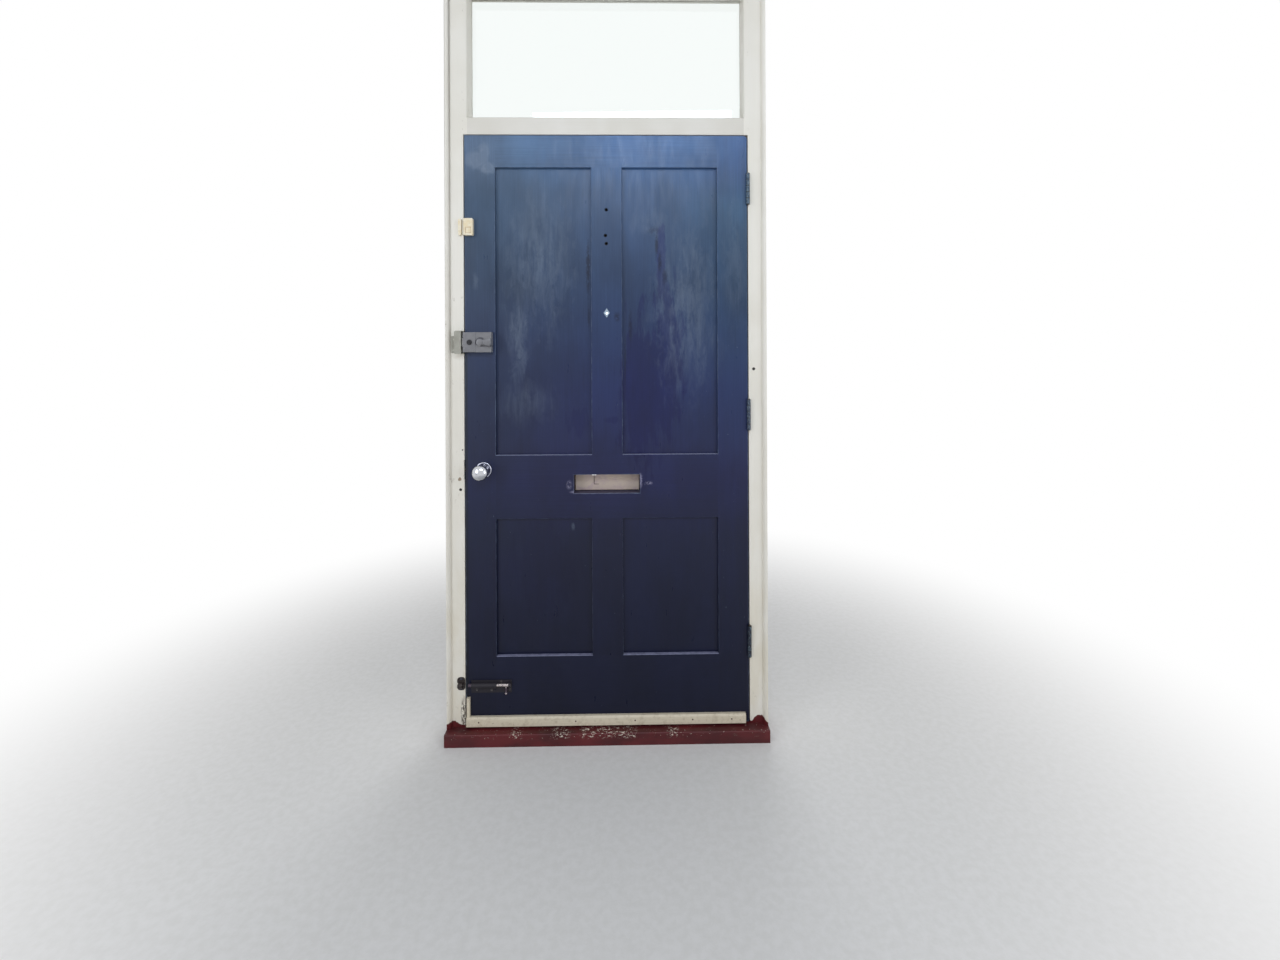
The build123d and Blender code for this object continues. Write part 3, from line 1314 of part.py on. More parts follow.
def contact_box():
    """The door half of the alarm contact: a rounded box, with a square relief and a button low down."""
    x0 = LOCK_EDGE + CONTACT_IN
    middle = x0 + CONTACT_WIDTH / 2
    z = CONTACT_Z
    front = ROOM - CONTACT_THICK
    body = rounded_plate(CONTACT_WIDTH, CONTACT_HEIGHT, CONTACT_ROUND, front, ROOM, middle, z)
    relief_z = z - CONTACT_HEIGHT / 4
    floor = front + CONTACT_RELIEF_DEEP
    relief = rounded_plate(
        CONTACT_RELIEF, CONTACT_RELIEF, CONTACT_RELIEF_ROUND, front, floor, middle, relief_z
    )
    button = rod_y(CONTACT_BUTTON_R, front, floor, middle, relief_z)
    return body - relief + button


def contact_magnet():
    """The frame half of the alarm contact."""
    x1 = LOCK_EDGE + CONTACT_IN - MAGNET_GAP
    z = CONTACT_Z
    return rounded_plate(
        MAGNET_WIDTH, MAGNET_HEIGHT, CONTACT_ROUND / 2, ROOM - MAGNET_THICK, ROOM, x1 - MAGNET_WIDTH / 2, z
    )


# Holes and recesses that the fittings need in the woodwork
def leaf_holes():
    """Everything cut into the leaf's members for the fittings."""
    tools = hinge_cuts(-1) + nails(SCREW_FIT) + muntin_holes()
    places = nightlatch_plate_screws() + forend_screw_places() + bolt_screw_places()
    tools += at_each(places, screw(SCREW_FIT))
    tools.append(rod_y(CYLINDER_R + LATCH_FIT, ROOM, LEAF_BACK, CYLINDER_X, NIGHTLATCH_Z))
    tools.append(rod_y(SPINDLE_HOLE_R, ROOM, LEAF_BACK, KNOB_X, KNOB_Z))
    tools.append(forend_block())
    tools.append(
        rod_x(LATCH_CASE_R + LATCH_FIT, LOCK_EDGE, LOCK_EDGE + LATCH_CASE_LONG + END_GAP, LEAF_MIDDLE, KNOB_Z)
    )
    tools.append(letter_slot())
    tools += [rod_y(STUD_R + LATCH_FIT, ROOM, LEAF_BACK, x, SLOT_Z) for x in stud_places()]
    tools.append(rod_y(VIEWER_R + VIEWER_FIT, ROOM, LEAF_BACK, 0.0, VIEWER_Z))
    return tools


def frame_holes():
    """Everything cut into the jambs for the fittings."""
    places = keeper_screw_places() + strike_screw_places() + bolt_keeper_screw_places()
    pocket = strike_pocket(-REBATE_HALF - STRIKE_THICK - STRIKE_POCKET)
    return hinge_cuts(1) + at_each(places, screw(SCREW_FIT)) + [keeper_return(), strike_block(), pocket]


def opening_bevel(half, z0, z1, bevel):
    """A cutter that bevels the room-side arris round an opening in the frame."""
    outline = Pos(0.0, (z0 + z1) / 2) * Rectangle(2 * (half + bevel), z1 - z0 + 2 * bevel)
    return extrude(Plane.XZ.offset(-ROOM) * outline, -bevel, taper=BEVEL_ANGLE)


def frame_bevels():
    """The worn bevel round the light and the small eased arris round the leaf."""
    return [
        opening_bevel(STOP_HALF, TRANSOM_TOP, LIGHT_TOP, LIGHT_BEVEL),
        opening_bevel(REBATE_HALF, 0.0, TRANSOM_REBATE, FRAME_ARRIS),
    ]


def build_parts():
    """Every node of the door by name, as a list of solids."""
    in_leaf = leaf_holes()
    in_frame = frame_holes() + frame_bevels()
    rails = {
        "bottom_rail": rail(FOOT, BOTTOM_RAIL_TOP, BOTTOM_TENONS),
        "lock_rail": rail(LOCK_RAIL_FOOT, LOCK_RAIL_TOP, LOCK_TENONS),
        "top_rail": rail(TOP_RAIL_FOOT, LEAF_TOP, TOP_TENONS),
        "lower_muntin": muntin(BOTTOM_RAIL_TOP, LOCK_RAIL_FOOT),
        "upper_muntin": muntin(LOCK_RAIL_TOP, TOP_RAIL_FOOT),
        "stile_lock_side": stile(-1),
        "stile_hinge_side": stile(1) - worn_corner(),
    }
    mortices = [
        muntin_tenon(z, way, GLUE_GAP)
        for z, way in (
            (BOTTOM_RAIL_TOP, -1),
            (LOCK_RAIL_FOOT, 1),
            (LOCK_RAIL_TOP, -1),
            (TOP_RAIL_FOOT, 1),
        )
    ]
    parts = {}
    for name, body in rails.items():
        tools = in_leaf if "muntin" in name else in_leaf + mortices
        parts[name] = [cut(body, tools)]
    sides = ("lower_left", "lower_right", "upper_left", "upper_right")
    for name, edges in zip(sides, openings()):
        parts["panel_" + name] = [panel(*edges)]

    parts["jamb_lock_side"] = [cut(jamb(-1), in_frame)]
    parts["jamb_hinge_side"] = [cut(jamb(1), in_frame)]
    parts["transom"] = [cut(transom(), frame_bevels())]
    parts["head"] = [cut(head(), frame_bevels())]
    parts["sill"] = [sill()]
    parts["light_glass"] = [light_glass()]
    parts["glazing_beads"] = glazing_beads()
    parts["cover_beads"] = cover_beads()

    for name, middle in HINGE_HEIGHTS.items():
        parts["hinge_" + name + "_frame_leaf"] = [hinge_leaf(middle, 1)]
        parts["hinge_" + name + "_door_leaf"] = [hinge_leaf(middle, -1)]
    parts["hinge_pins"] = [hinge_pin(middle) for middle in HINGE_HEIGHTS.values()]

    parts["nightlatch_case"] = [nightlatch_case()]
    parts["nightlatch_plate"] = [nightlatch_plate()]
    parts["nightlatch_bolt"] = [nightlatch_bolt()]
    parts["nightlatch_lever"] = [nightlatch_lever()]
    parts["nightlatch_snib"] = [nightlatch_snib()]
    parts["nightlatch_keeper"] = [nightlatch_keeper()]
    parts["rim_cylinder"] = [rim_cylinder()]
    parts["rim_cylinder_screws"] = cylinder_screws()
    parts["cylinder_plug"] = [cylinder_plug()]

    parts["rose_inner"] = [rose(ROOM, 1)]
    parts["rose_outer"] = [rose(LEAF_BACK, -1)]
    parts["knob_inner"] = [knob(ROOM, 1)]
    parts["knob_outer"] = [knob(LEAF_BACK, -1)]
    parts["knob_spindle"] = [spindle()]
    parts["latch_case"] = [latch_case()]
    parts["latch_bolt"] = [latch_bolt()]
    parts["latch_strike"] = [latch_strike()]

    parts["letter_plate"] = [letter_plate()]
    parts["letter_flap"] = [letter_flap()]
    parts["flap_spring"] = [flap_spring()]
    parts["letter_bolts"] = letter_bolts()
    parts["viewer_barrel"] = [viewer_barrel()]
    parts["viewer_lens"] = [viewer_lens()]

    parts["barrel_bolt_plate"] = [barrel_bolt_plate()]
    parts["barrel_bolt_rod"] = [barrel_bolt_rod()]
    parts["bolt_keeper"] = [bolt_keeper()]
    parts["draught_strip"] = [draught_strip()]
    parts["strip_nails"] = nails()
    parts["corner_fillet"] = [corner_fillet()]
    parts["contact_box"] = [contact_box()]
    parts["contact_magnet"] = [contact_magnet()]

    on_leaf = nightlatch_plate_screws() + forend_screw_places() + bolt_screw_places()
    parts["leaf_screws"] = hinge_screws(-1) + at_each(on_leaf, screw())
    on_frame = keeper_screw_places() + strike_screw_places() + bolt_keeper_screw_places()
    parts["frame_screws"] = hinge_screws(1) + at_each(on_frame, screw())
    return parts


def write(parts):
    """One STEP file per node, in the parts folder."""
    os.makedirs("parts", exist_ok=True)
    for name, solids in parts.items():
        shape = solids[0] if len(solids) == 1 else Compound(children=solids)
        export_step(shape, "parts/" + name + ".step")


write(build_parts())
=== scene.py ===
"""Looks of a panelled front door in its frame: its finishes, its finer pieces, the light and the camera."""

import logging
import math
from dataclasses import asdict, dataclass, fields
from enum import Enum
from typing import Sequence

import bmesh
import bpy
from mathutils import Color, Matrix, Vector


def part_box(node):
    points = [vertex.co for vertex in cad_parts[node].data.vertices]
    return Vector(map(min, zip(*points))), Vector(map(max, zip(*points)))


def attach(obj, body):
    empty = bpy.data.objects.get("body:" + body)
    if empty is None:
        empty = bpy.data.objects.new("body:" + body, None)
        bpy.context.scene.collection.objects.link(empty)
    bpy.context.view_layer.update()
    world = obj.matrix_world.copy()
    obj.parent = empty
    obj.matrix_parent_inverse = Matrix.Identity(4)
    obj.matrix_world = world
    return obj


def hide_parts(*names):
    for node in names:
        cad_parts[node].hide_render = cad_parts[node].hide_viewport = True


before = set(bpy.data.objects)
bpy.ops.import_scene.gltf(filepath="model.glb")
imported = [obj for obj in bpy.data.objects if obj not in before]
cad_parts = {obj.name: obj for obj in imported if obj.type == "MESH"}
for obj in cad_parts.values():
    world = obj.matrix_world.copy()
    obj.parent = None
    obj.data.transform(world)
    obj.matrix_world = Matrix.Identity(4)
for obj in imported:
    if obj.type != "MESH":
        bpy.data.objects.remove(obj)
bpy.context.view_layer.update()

log = logging.getLogger("front_door")

Socket = bpy.types.NodeSocket
Node = bpy.types.Node
Material = bpy.types.Material
Thing = bpy.types.Object
Shape = bmesh.types.BMesh
Value = float | Sequence[float] | Socket
Feeds = dict[int | str, Value]
Pair = tuple[float, float]
Point = tuple[float, float, float]
Colour = tuple[float, float, float, float]

ROOM_FACE = -0.0475
LEAF_BACK_FACE = -0.0035
PANEL_MIDDLE = -0.0255
FULL_TURN = 2.0 * math.pi
OUTWARD = Vector((0.0, 1.0, 0.0))
CREASE = 34.0
WHITE = (1.0, 1.0, 1.0, 1.0)


def seen(red: float, green: float, blue: float) -> Colour:
    """Turns a colour as it looks, 0 to 255 a channel, into the opaque linear one that a shader takes."""
    return (*Color((red / 255.0, green / 255.0, blue / 255.0)).from_srgb_to_scene_linear(), 1.0)


# Node trees
class Wiring:
    """A node tree that is written a node at a time."""

    def __init__(self, tree: bpy.types.NodeTree) -> None:
        """Takes over a tree and empties it."""
        self.tree = tree
        tree.nodes.clear()

    def node(self, kind: str, feeds: Feeds | None = None, **settings: object) -> Node:
        """Adds a node, with its settings and inputs.

        Args:
            kind: The node's type.
            feeds: What each input takes, by its name or number: another node's output or a plain value.
            settings: Names and values of its settings.

        Returns:
            The new node.
        """
        node = self.tree.nodes.new(kind)
        for name, value in settings.items():
            setattr(node, name, value)
        for key, value in (feeds or {}).items():
            if isinstance(value, bpy.types.NodeSocket):
                self.tree.links.new(value, node.inputs[key])
            else:
                node.inputs[key].default_value = value
        return node

    def add(self, kind: str, feeds: Feeds | None = None, output: int | str = 0, **settings: object) -> Socket:
        """Adds a node as node() does, and gives one of its outputs."""
        return self.node(kind, feeds, **settings).outputs[output]

    def math(self, operation: str, first: Value, second: Value = 0.0, clamp: bool = False) -> Socket:
        """Works out one sum, kept between 0 and 1 where it is clamped."""
        return self.add("ShaderNodeMath", {0: first, 1: second}, operation=operation, use_clamp=clamp)

    def chain(self, operation: str, values: Sequence[Value]) -> Socket:
        """Works one sum through a row of numbers.

        Args:
            operation: The Math node's operation.
            values: The numbers.

        Returns:
            The result's socket.
        """
        result = values[0]
        for value in values[1:]:
            result = self.math(operation, result, value)
        return result

    def all_of(self, *masks: Value) -> Socket:
        """Multiplies masks or numbers together."""
        return self.chain("MULTIPLY", masks)

    def any_of(self, *masks: Value) -> Socket:
        """Takes the strongest of several masks."""
        return self.chain("MAXIMUM", masks)

    def plus(self, *numbers: Value) -> Socket:
        """Adds numbers up."""
        return self.chain("ADD", numbers)

    def less(self, first: Value, second: Value) -> Socket:
        """Takes the second number from the first."""
        return self.math("SUBTRACT", first, second)

    def off(self, value: Value, middle: float = 0.0) -> Socket:
        """How far a number is from a middle, either way."""
        return self.math("ABSOLUTE", self.less(value, middle) if middle else value)

    def background_rays(self) -> Socket:
        """A mask of the rays that see the background: the camera's, and those off metal and through glass."""
        path = self.node("ShaderNodeLightPath").outputs
        return self.any_of(*(path[f"Is {ray} Ray"] for ray in ("Camera", "Glossy", "Transmission")))


class Board(Wiring):
    """One material's node tree."""

    def __init__(self, name: str) -> None:
        """Starts an empty material with the place on the piece and the way that its surface faces at hand.

        Args:
            name: The material's name.
        """
        self.material = bpy.data.materials.new(name)
        self.material.use_nodes = True
        super().__init__(self.material.node_tree)
        self.place = self.add("ShaderNodeTexCoord", output="Object")
        self.x, self.y, self.z = self.node("ShaderNodeSeparateXYZ", {0: self.place}).outputs
        normal = self.add("ShaderNodeNewGeometry", output="True Normal")
        turned = {"vector_type": "NORMAL", "convert_from": "WORLD", "convert_to": "OBJECT"}
        own = self.add("ShaderNodeVectorTransform", {0: normal}, **turned)
        self.facing_x, self.facing_y, self.facing_z = self.node("ShaderNodeSeparateXYZ", {0: own}).outputs

    def fade(self, value: Value, start: Value, end: Value, low: float = 0.0, high: float = 1.0) -> Socket:
        """Turns a number into a soft step from low to high, which falls where its start is above its end."""
        feeds = {"Value": value, "From Min": start, "From Max": end, "To Min": low, "To Max": high}
        return self.add("ShaderNodeMapRange", feeds, interpolation_type="SMOOTHSTEP")

    def between(self, value: Value, low: float, high: float, soft: float) -> Value:
        """A mask that is 1 between two limits and fades out over a soft margin outside them."""
        return self.all_of(self.fade(value, low - soft, low), self.fade(value, high + soft, high))

    def scaled(self, size: float | Point, shift: Point = (0.0, 0.0, 0.0)) -> Socket:
        """Finds the place on the piece, counted in lumps of a size.

        Args:
            size: The lumps' size, one for all axes or one for each.
            shift: How many lumps it is moved along X, Y and Z.

        Returns:
            The place's socket.
        """
        sizes = size if isinstance(size, tuple) else (size, size, size)
        scale = tuple(1.0 / part for part in sizes)
        return self.add("ShaderNodeMapping", {"Vector": self.place, "Location": shift, "Scale": scale})

    def noise(
        self,
        size: float | Point,
        detail: float = 3.0,
        rough: float = 0.55,
        wander: float = 0.0,
        seed: float = 0.0,
    ) -> Socket:
        """Cloudy noise from 0 to 1, its lumps of a given size.

        Args:
            size: The lumps' size in metres, one for all directions or one for each axis.
            detail: How many finer layers it has.
            rough: How strong the finer layers are.
            wander: How far its lines wander.
            seed: A number that gives another pattern.

        Returns:
            The noise's socket.
        """
        place = self.scaled(size, (seed, seed * 1.7, seed * 0.6))
        feeds = {"Vector": place, "Scale": 1.0, "Detail": detail, "Roughness": rough, "Distortion": wander}
        return self.add("ShaderNodeTexNoise", feeds)

    def cells(self, size: float | Point) -> Socket:
        """Distance to the nearest of many scattered points, in units of their spacing."""
        return self.add("ShaderNodeTexVoronoi", {"Vector": self.scaled(size), "Scale": 1.0}, "Distance")

    def spot(self, centre: Pair, radius: float, ragged: float = 0.3) -> Socket:
        """A round mark on an upright face, whose edge strays by a ragged share of its radius."""
        stray = self.all_of(self.less(self.noise(radius), 0.5), 2.0 * ragged)
        return self.fade(self.plus(self.away_from(centre, (radius, radius)), stray), 1.15, 0.8)

    def away_from(self, centre: Pair, half: Pair) -> Socket:
        """Distance from a point on an upright face, counted as 1 all round an ellipse.

        Args:
            centre: The point's X and Z.
            half: The ellipse's half width and half height.

        Returns:
            The distance's socket.
        """
        shift = (-centre[0] / half[0], 0.0, -centre[1] / half[1])
        scale = (1.0 / half[0], 0.0, 1.0 / half[1])
        place = self.add("ShaderNodeMapping", {"Vector": self.place, "Location": shift, "Scale": scale})
        return self.add("ShaderNodeVectorMath", {0: place}, "Value", operation="LENGTH")

    def away_on_floor(self) -> Socket:
        """Distance from the origin along the floor, in metres."""
        return self.math("SQRT", self.plus(self.all_of(self.x, self.x), self.all_of(self.y, self.y)))

    def from_rectangle(self, x: Value, centre: Pair, half: Pair) -> Value:
        """Distance from an upright rectangle's outline, below 0 inside it, by its middle and half sizes."""
        across = self.less(self.off(x, centre[0]), half[0])
        return self.any_of(across, self.less(self.off(self.z, centre[1]), half[1]))

    def mix(self, share: Value, under: Value, over: Value, how: str = "MIX") -> Socket:
        """Lays a share of one colour over another."""
        return self.add("ShaderNodeMix", {0: share, 6: under, 7: over}, 2, data_type="RGBA", blend_type=how)

    def ramp(self, value: Socket, stops: Sequence[tuple[float, Colour]]) -> Socket:
        """Runs through a row of colours as a number grows.

        Args:
            value: The number.
            stops: Each colour with the number at which it stands, lowest first.

        Returns:
            The colour's socket.
        """
        first = stops[0][0]
        span = stops[-1][0] - first
        share = self.math("DIVIDE", self.less(value, first), span, clamp=True)
        node = self.node("ShaderNodeValToRGB", {0: share})
        bar = node.color_ramp
        while len(bar.elements) < len(stops):
            bar.elements.new(0.5)
        for element, (at, colour) in zip(bar.elements, stops):
            element.position = (at - first) / span
            element.color = colour
        return node.outputs[0]

    def shade_of(self, tone: Value) -> Socket:
        """Turns a number into a grey of that lightness."""
        return self.add("ShaderNodeCombineColor", {0: tone, 1: tone, 2: tone})

    def bump(self, height: Value, depth: float, strength: float = 1.0) -> Socket:
        """Turns a height from 0 to 1, where 1 stands for a depth in metres, into a tilted normal."""
        return self.add("ShaderNodeBump", {"Height": height, "Distance": depth, "Strength": strength})

    def coat(
        self,
        colour: Value,
        rough: Value,
        normal: Socket,
        metal: Value = 0.0,
        gloss: float = 0.5,
        **extra: float,
    ) -> Material:
        """Ends the tree in one surface shader.

        Args:
            colour: The surface's colour.
            rough: Its roughness.
            normal: Its tilted normal.
            metal: How metallic it is.
            gloss: Its specular level.
            extra: Other inputs by name, with _ for a space.

        Returns:
            The finished material.
        """
        feeds = {"Base Color": colour, "Roughness": rough, "Metallic": metal, "Normal": normal}
        feeds["Specular IOR Level"] = gloss
        feeds.update({name.replace("_", " "): value for name, value in extra.items()})
        self.node("ShaderNodeOutputMaterial", {"Surface": self.add("ShaderNodeBsdfPrincipled", feeds)})
        return self.material


class Grower(Wiring):
    """A Geometry Nodes tree that makes one mesh from another."""

    def __init__(self, name: str, inputs: dict[str, str]) -> None:
        """Starts the tree with its ports.

        Args:
            name: The tree's name.
            inputs: The kind of socket of each input besides the mesh, by the input's name.
        """
        super().__init__(bpy.data.node_groups.new(name, "GeometryNodeTree"))
        ports = self.tree.interface
        for port, kind in {"Geometry": "Geometry", **inputs}.items():
            ports.new_socket(port, in_out="INPUT", socket_type=f"NodeSocket{kind}")
        ports.new_socket("Geometry", in_out="OUTPUT", socket_type="NodeSocketGeometry")
        self.given = self.node("NodeGroupInput").outputs

    def joined(self, *parts: Socket) -> Socket:
        """Joins several shapes.

        Args:
            parts: The shapes.

        Returns:
            The joined shape.
        """
        join = self.node("GeometryNodeJoinGeometry")
        for part in parts:
            self.tree.links.new(part, join.inputs[0])
        return join.outputs[0]

    def end(self, shape: Socket) -> None:
        """Ends the tree in a plain mesh in the given finish.

        Args:
            shape: What the tree has grown.
        """
        real = self.add("GeometryNodeRealizeInstances", {"Geometry": shape})
        dressed = self.add("GeometryNodeSetMaterial", {"Geometry": real, "Material": self.given["Finish"]})
        self.node("NodeGroupOutput", {"Geometry": dressed})

    def put_on(self, thing: Thing, inputs: dict[str, object]) -> None:
        """Gives an object the tree as a modifier.

        Args:
            thing: The object.
            inputs: What each of the tree's inputs takes, by its name.
        """
        modifier = thing.modifiers.new(self.tree.name, "NODES")
        modifier.node_group = self.tree
        for port in self.tree.interface.items_tree:
            if port.in_out == "INPUT" and port.name in inputs:
                modifier[port.identifier] = inputs[port.name]


# Finishes
class Brush(Enum):
    """Which way the brush ran along a wooden member: the size of one brush mark in metres."""

    UPRIGHT = (0.0016, 0.0016, 0.16)
    LEVEL = (0.16, 0.0016, 0.0016)


@dataclass(frozen=True)
class Patch:
    """A soft-edged patch on the leaf: its middle, its half width and half height, and how strong it is."""

    x: float
    z: float
    wide: float
    high: float
    strong: float = 1.0


@dataclass(frozen=True)
class Wash:
    """A tint that grows from one x to another, between two heights."""

    x_none: float
    x_full: float
    low: float
    high: float
    colour: Colour


@dataclass(frozen=True)
class DoorPaint:
    """Brushed navy gloss: paler towards its top by weathering and painted glare, darker low down as painted
    shade, hazed by hands and cloths, worn on its arrises.
    """

    name: str
    brush: Brush
    seed: float = 0.0
    haze: float = 0.0
    # colour by height: part the paint's weathering, part painted shade low down and painted glare up high
    paint_and_light_by_height: tuple[tuple[float, Colour], ...] = (
        (0.05, seen(10, 14, 36)),
        (0.65, seen(16, 22, 50)),
        (0.85, seen(25, 29, 66)),
        (1.15, seen(30, 41, 81)),
        (1.50, seen(40, 59, 91)),
        (1.80, seen(55, 80, 115)),
        (1.95, seen(72, 104, 148)),
    )
    washes: tuple[Wash, ...] = (
        Wash(0.10, -0.42, 0.95, 2.20, (1.18, 1.03, 0.84, 1.0)),
        Wash(-0.10, -0.42, 0.70, 1.15, (0.84, 0.98, 0.86, 1.0)),
        Wash(-0.454, -0.460, -0.30, 1.22, (0.62, 0.66, 0.48, 1.0)),
        Wash(-0.25, -0.42, 1.90, 2.20, (1.20, 1.00, 0.92, 1.0)),
        Wash(0.10, 0.45, 1.00, 1.72, (1.02, 1.16, 1.02, 1.0)),
        Wash(0.00, 0.20, -0.30, 0.80, (0.84, 0.92, 1.00, 1.0)),
        # painted shade: this wash darkens the leaf's top right
        Wash(0.28, 0.46, 1.88, 2.20, (0.78, 0.78, 0.84, 1.0)),
    )
    wash_soft: float = 0.15
    hazy: Colour = seen(124, 138, 156)
    violet: Colour = (0.48, 0.46, 0.80, 1.0)
    # dust on up-facing ledges, paled further as a painted highlight
    dusty: Colour = seen(136, 138, 166)
    # worn arrises, lightened as a painted highlight
    worn: Colour = seen(106, 120, 144)
    # the slot's cut faces: bare wood, darkened as painted shade inside the slot
    cut: Colour = seen(52, 48, 68)
    splinter: Colour = seen(134, 132, 158)
    # near-black: painted shade inside the muntin's holes
    hole: Colour = seen(9, 9, 12)
    crack: Colour = seen(12, 21, 46)
    smears: tuple[Patch, ...] = (
        Patch(-0.225, 1.600, 0.140, 0.300, 0.75),
        Patch(-0.222, 1.590, 0.050, 0.120, 1.0),
        Patch(-0.292, 1.300, 0.045, 0.160, 0.9),
        Patch(-0.258, 1.105, 0.120, 0.090, 0.4),
        Patch(0.143, 1.695, 0.070, 0.060, 0.8),
        Patch(0.260, 1.420, 0.130, 0.330, 0.8),
        Patch(0.277, 1.340, 0.040, 0.100, 1.0),
        Patch(0.425, 1.560, 0.060, 0.260, 0.45),
        Patch(-0.115, 0.690, 0.008, 0.016, 1.0),
    )
    clean: tuple[Patch, ...] = (
        Patch(0.115, 1.120, 0.075, 0.270, 0.9),
        Patch(0.195, 1.230, 0.055, 0.260, 0.85),
        Patch(0.180, 1.560, 0.018, 0.140, 0.9),
        Patch(-0.095, 1.035, 0.045, 0.055, 0.55),
        Patch(0.020, 1.042, 0.026, 0.012, 0.6),
        Patch(-0.210, 0.560, 0.120, 0.160, 0.35),
    )
    cracks: tuple[Patch, ...] = (
        Patch(-0.0615, 1.545, 0.010, 0.110),
        Patch(-0.0600, 1.380, 0.006, 0.050, 0.7),
        Patch(0.0600, 1.240, 0.005, 0.120, 0.6),
        Patch(0.0780, 1.345, 0.009, 0.070, 0.8),
        Patch(0.0340, 1.382, 0.013, 0.020, 0.8),
        Patch(0.1560, 1.668, 0.024, 0.018, 0.6),
        Patch(0.1660, 1.620, 0.008, 0.045, 0.9),
        Patch(0.1760, 1.565, 0.009, 0.042, 0.9),
        Patch(0.1930, 1.515, 0.012, 0.034, 0.7),
    )
    rubs: tuple[Patch, ...] = (
        Patch(-0.425, 1.898, 0.044, 0.034),
        Patch(-0.400, 1.925, 0.022, 0.034, 0.9),
        Patch(-0.392, 1.872, 0.040, 0.026, 0.9),
        Patch(-0.430, 1.500, 0.014, 0.030, 0.3),
    )
    chips: tuple[Patch, ...] = (
        Patch(0.110, 0.843, 0.008, 0.034),
        Patch(-0.126, 0.830, 0.012, 0.018),
        Patch(0.136, 0.834, 0.018, 0.007),
        Patch(-0.108, 0.806, 0.020, 0.006),
    )
    panel: tuple[Pair, Pair] = ((0.208, 1.4015), (0.157, 0.4725))
    low_panel: tuple[Pair, Pair] = ((0.208, 0.494), (0.157, 0.225))
    leaf: tuple[Pair, Pair] = ((0.0, 1.0115), (0.465, 0.9675))
    slot: tuple[Pair, Pair] = ((-0.002, 0.832), (0.109, 0.031))
    muntin_holes: tuple[Pair, ...] = ((0.0, 1.7346), (-0.0033, 1.650), (-0.0004, 1.6233))
    hole_radius: float = 0.0058

    def base(self, board: Board, clouds: Socket, strokes: Socket) -> Socket:
        """The sound paint: its colour by height, which holds painted shade low down and painted glare up
        high, and its washes, one of them painted shade, in soft tones and brush marks.

        Args:
            board: The tree to add to.
            clouds: Large soft noise, from 0 to 1.
            strokes: The brush marks, from 0 to 1.

        Returns:
            The colour's socket.
        """
        colour = board.ramp(board.z, self.paint_and_light_by_height)
        for wash in self.washes:
            heights = board.between(board.z, wash.low, wash.high, self.wash_soft)
            share = board.all_of(board.fade(board.x, wash.x_none, wash.x_full), heights)
            colour = board.mix(share, colour, wash.colour, "MULTIPLY")
        tone = board.fade(clouds, 0.0, 1.0, 0.86, 1.14)
        marks = board.fade(strokes, 0.3, 0.75, 0.94, 1.16)
        return board.mix(1.0, colour, board.shade_of(board.all_of(tone, marks)), "MULTIPLY")

    def worn_and_lit_edges(self, board: Board) -> Socket:
        """Where the paint has gone thin, paled as a painted highlight: on the panel openings' arrises and the
        leaf's outer edge.

        Args:
            board: The tree to add to.

        Returns:
            The mask's socket.
        """
        mirrored = board.off(board.x)
        edges = (
            (mirrored, self.panel, 1.0),
            (mirrored, self.low_panel, 0.4),
            (board.x, self.leaf, 1.0),
            (board.x, self.slot, 1.0),
        )
        lines = []
        for x, rectangle, share in edges:
            away = board.off(board.from_rectangle(x, *rectangle))
            lines.append(board.fade(away, 0.0024, 0.0006, 0.0, share))
        near_face = board.any_of(
            board.fade(board.y, ROOM_FACE + 0.004, ROOM_FACE + 0.002),
            board.fade(board.y, LEAF_BACK_FACE - 0.004, LEAF_BACK_FACE - 0.002),
        )
        chipped = board.fade(board.noise((0.02, 0.02, 0.03), 5.0, 0.7, seed=3.0), 0.45, 0.62, 0.25, 1.0)
        return board.all_of(board.any_of(*lines), near_face, chipped)

    def patches(self, board: Board, patches: Sequence[Patch], ragged: Socket, solid: float = 0.3) -> Socket:
        """A mask of soft patches on the room side, whose edges stray with a noise.

        Args:
            board: The tree to add to.
            patches: The patches.
            ragged: The noise, from 0 to 1.
            solid: How far out from its middle a patch is at full strength, as a share of its size.

        Returns:
            The mask's socket.
        """
        stray = board.all_of(board.less(ragged, 0.5), 2.4)
        masks = []
        for patch in patches:
            away = board.plus(board.away_from((patch.x, patch.z), (patch.wide, patch.high)), stray)
            masks.append(board.fade(away, 1.05, solid, 0.0, patch.strong))
        return board.all_of(board.any_of(*masks), self.room_side(board))

    def room_side(self, board: Board) -> Socket:
        """A mask of the leaf's room side, down to the middle of its panels."""
        return board.fade(board.y, PANEL_MIDDLE + 0.003, PANEL_MIDDLE - 0.003)

    def haze_mask(self, board: Board) -> Socket:
        """Whitish smears that cloths dragged down the panels.

        Args:
            board: The tree to add to.

        Returns:
            The mask's socket.
        """
        wipe = board.noise((0.034, 0.05, 0.075), 7.0, 0.68, 0.4, seed=2.0)
        texture = board.plus(board.all_of(self.drag(board), 0.5), board.all_of(wipe, 0.5))
        return board.all_of(self.patches(board, self.smears, wipe), board.fade(texture, 0.38, 0.66, 0.1, 1.0))

    def drag(self, board: Board) -> Socket:
        """Noise in the long upright drags that a cloth or a run of water leaves."""
        return board.noise((0.020, 0.02, 0.10), 7.0, 0.62, 0.3, seed=7.0 + self.seed)

    def slot_edges(self, board: Board) -> Socket:
        """The letter slot's cut edges, inside the lock rail.

        Args:
            board: The tree to add to.

        Returns:
            The mask's socket.
        """
        into = board.between(board.y, ROOM_FACE + 0.0015, LEAF_BACK_FACE - 0.001, 0.001)
        inside = board.fade(board.from_rectangle(board.x, *self.slot), 0.0012, 0.0004)
        return board.all_of(into, inside)

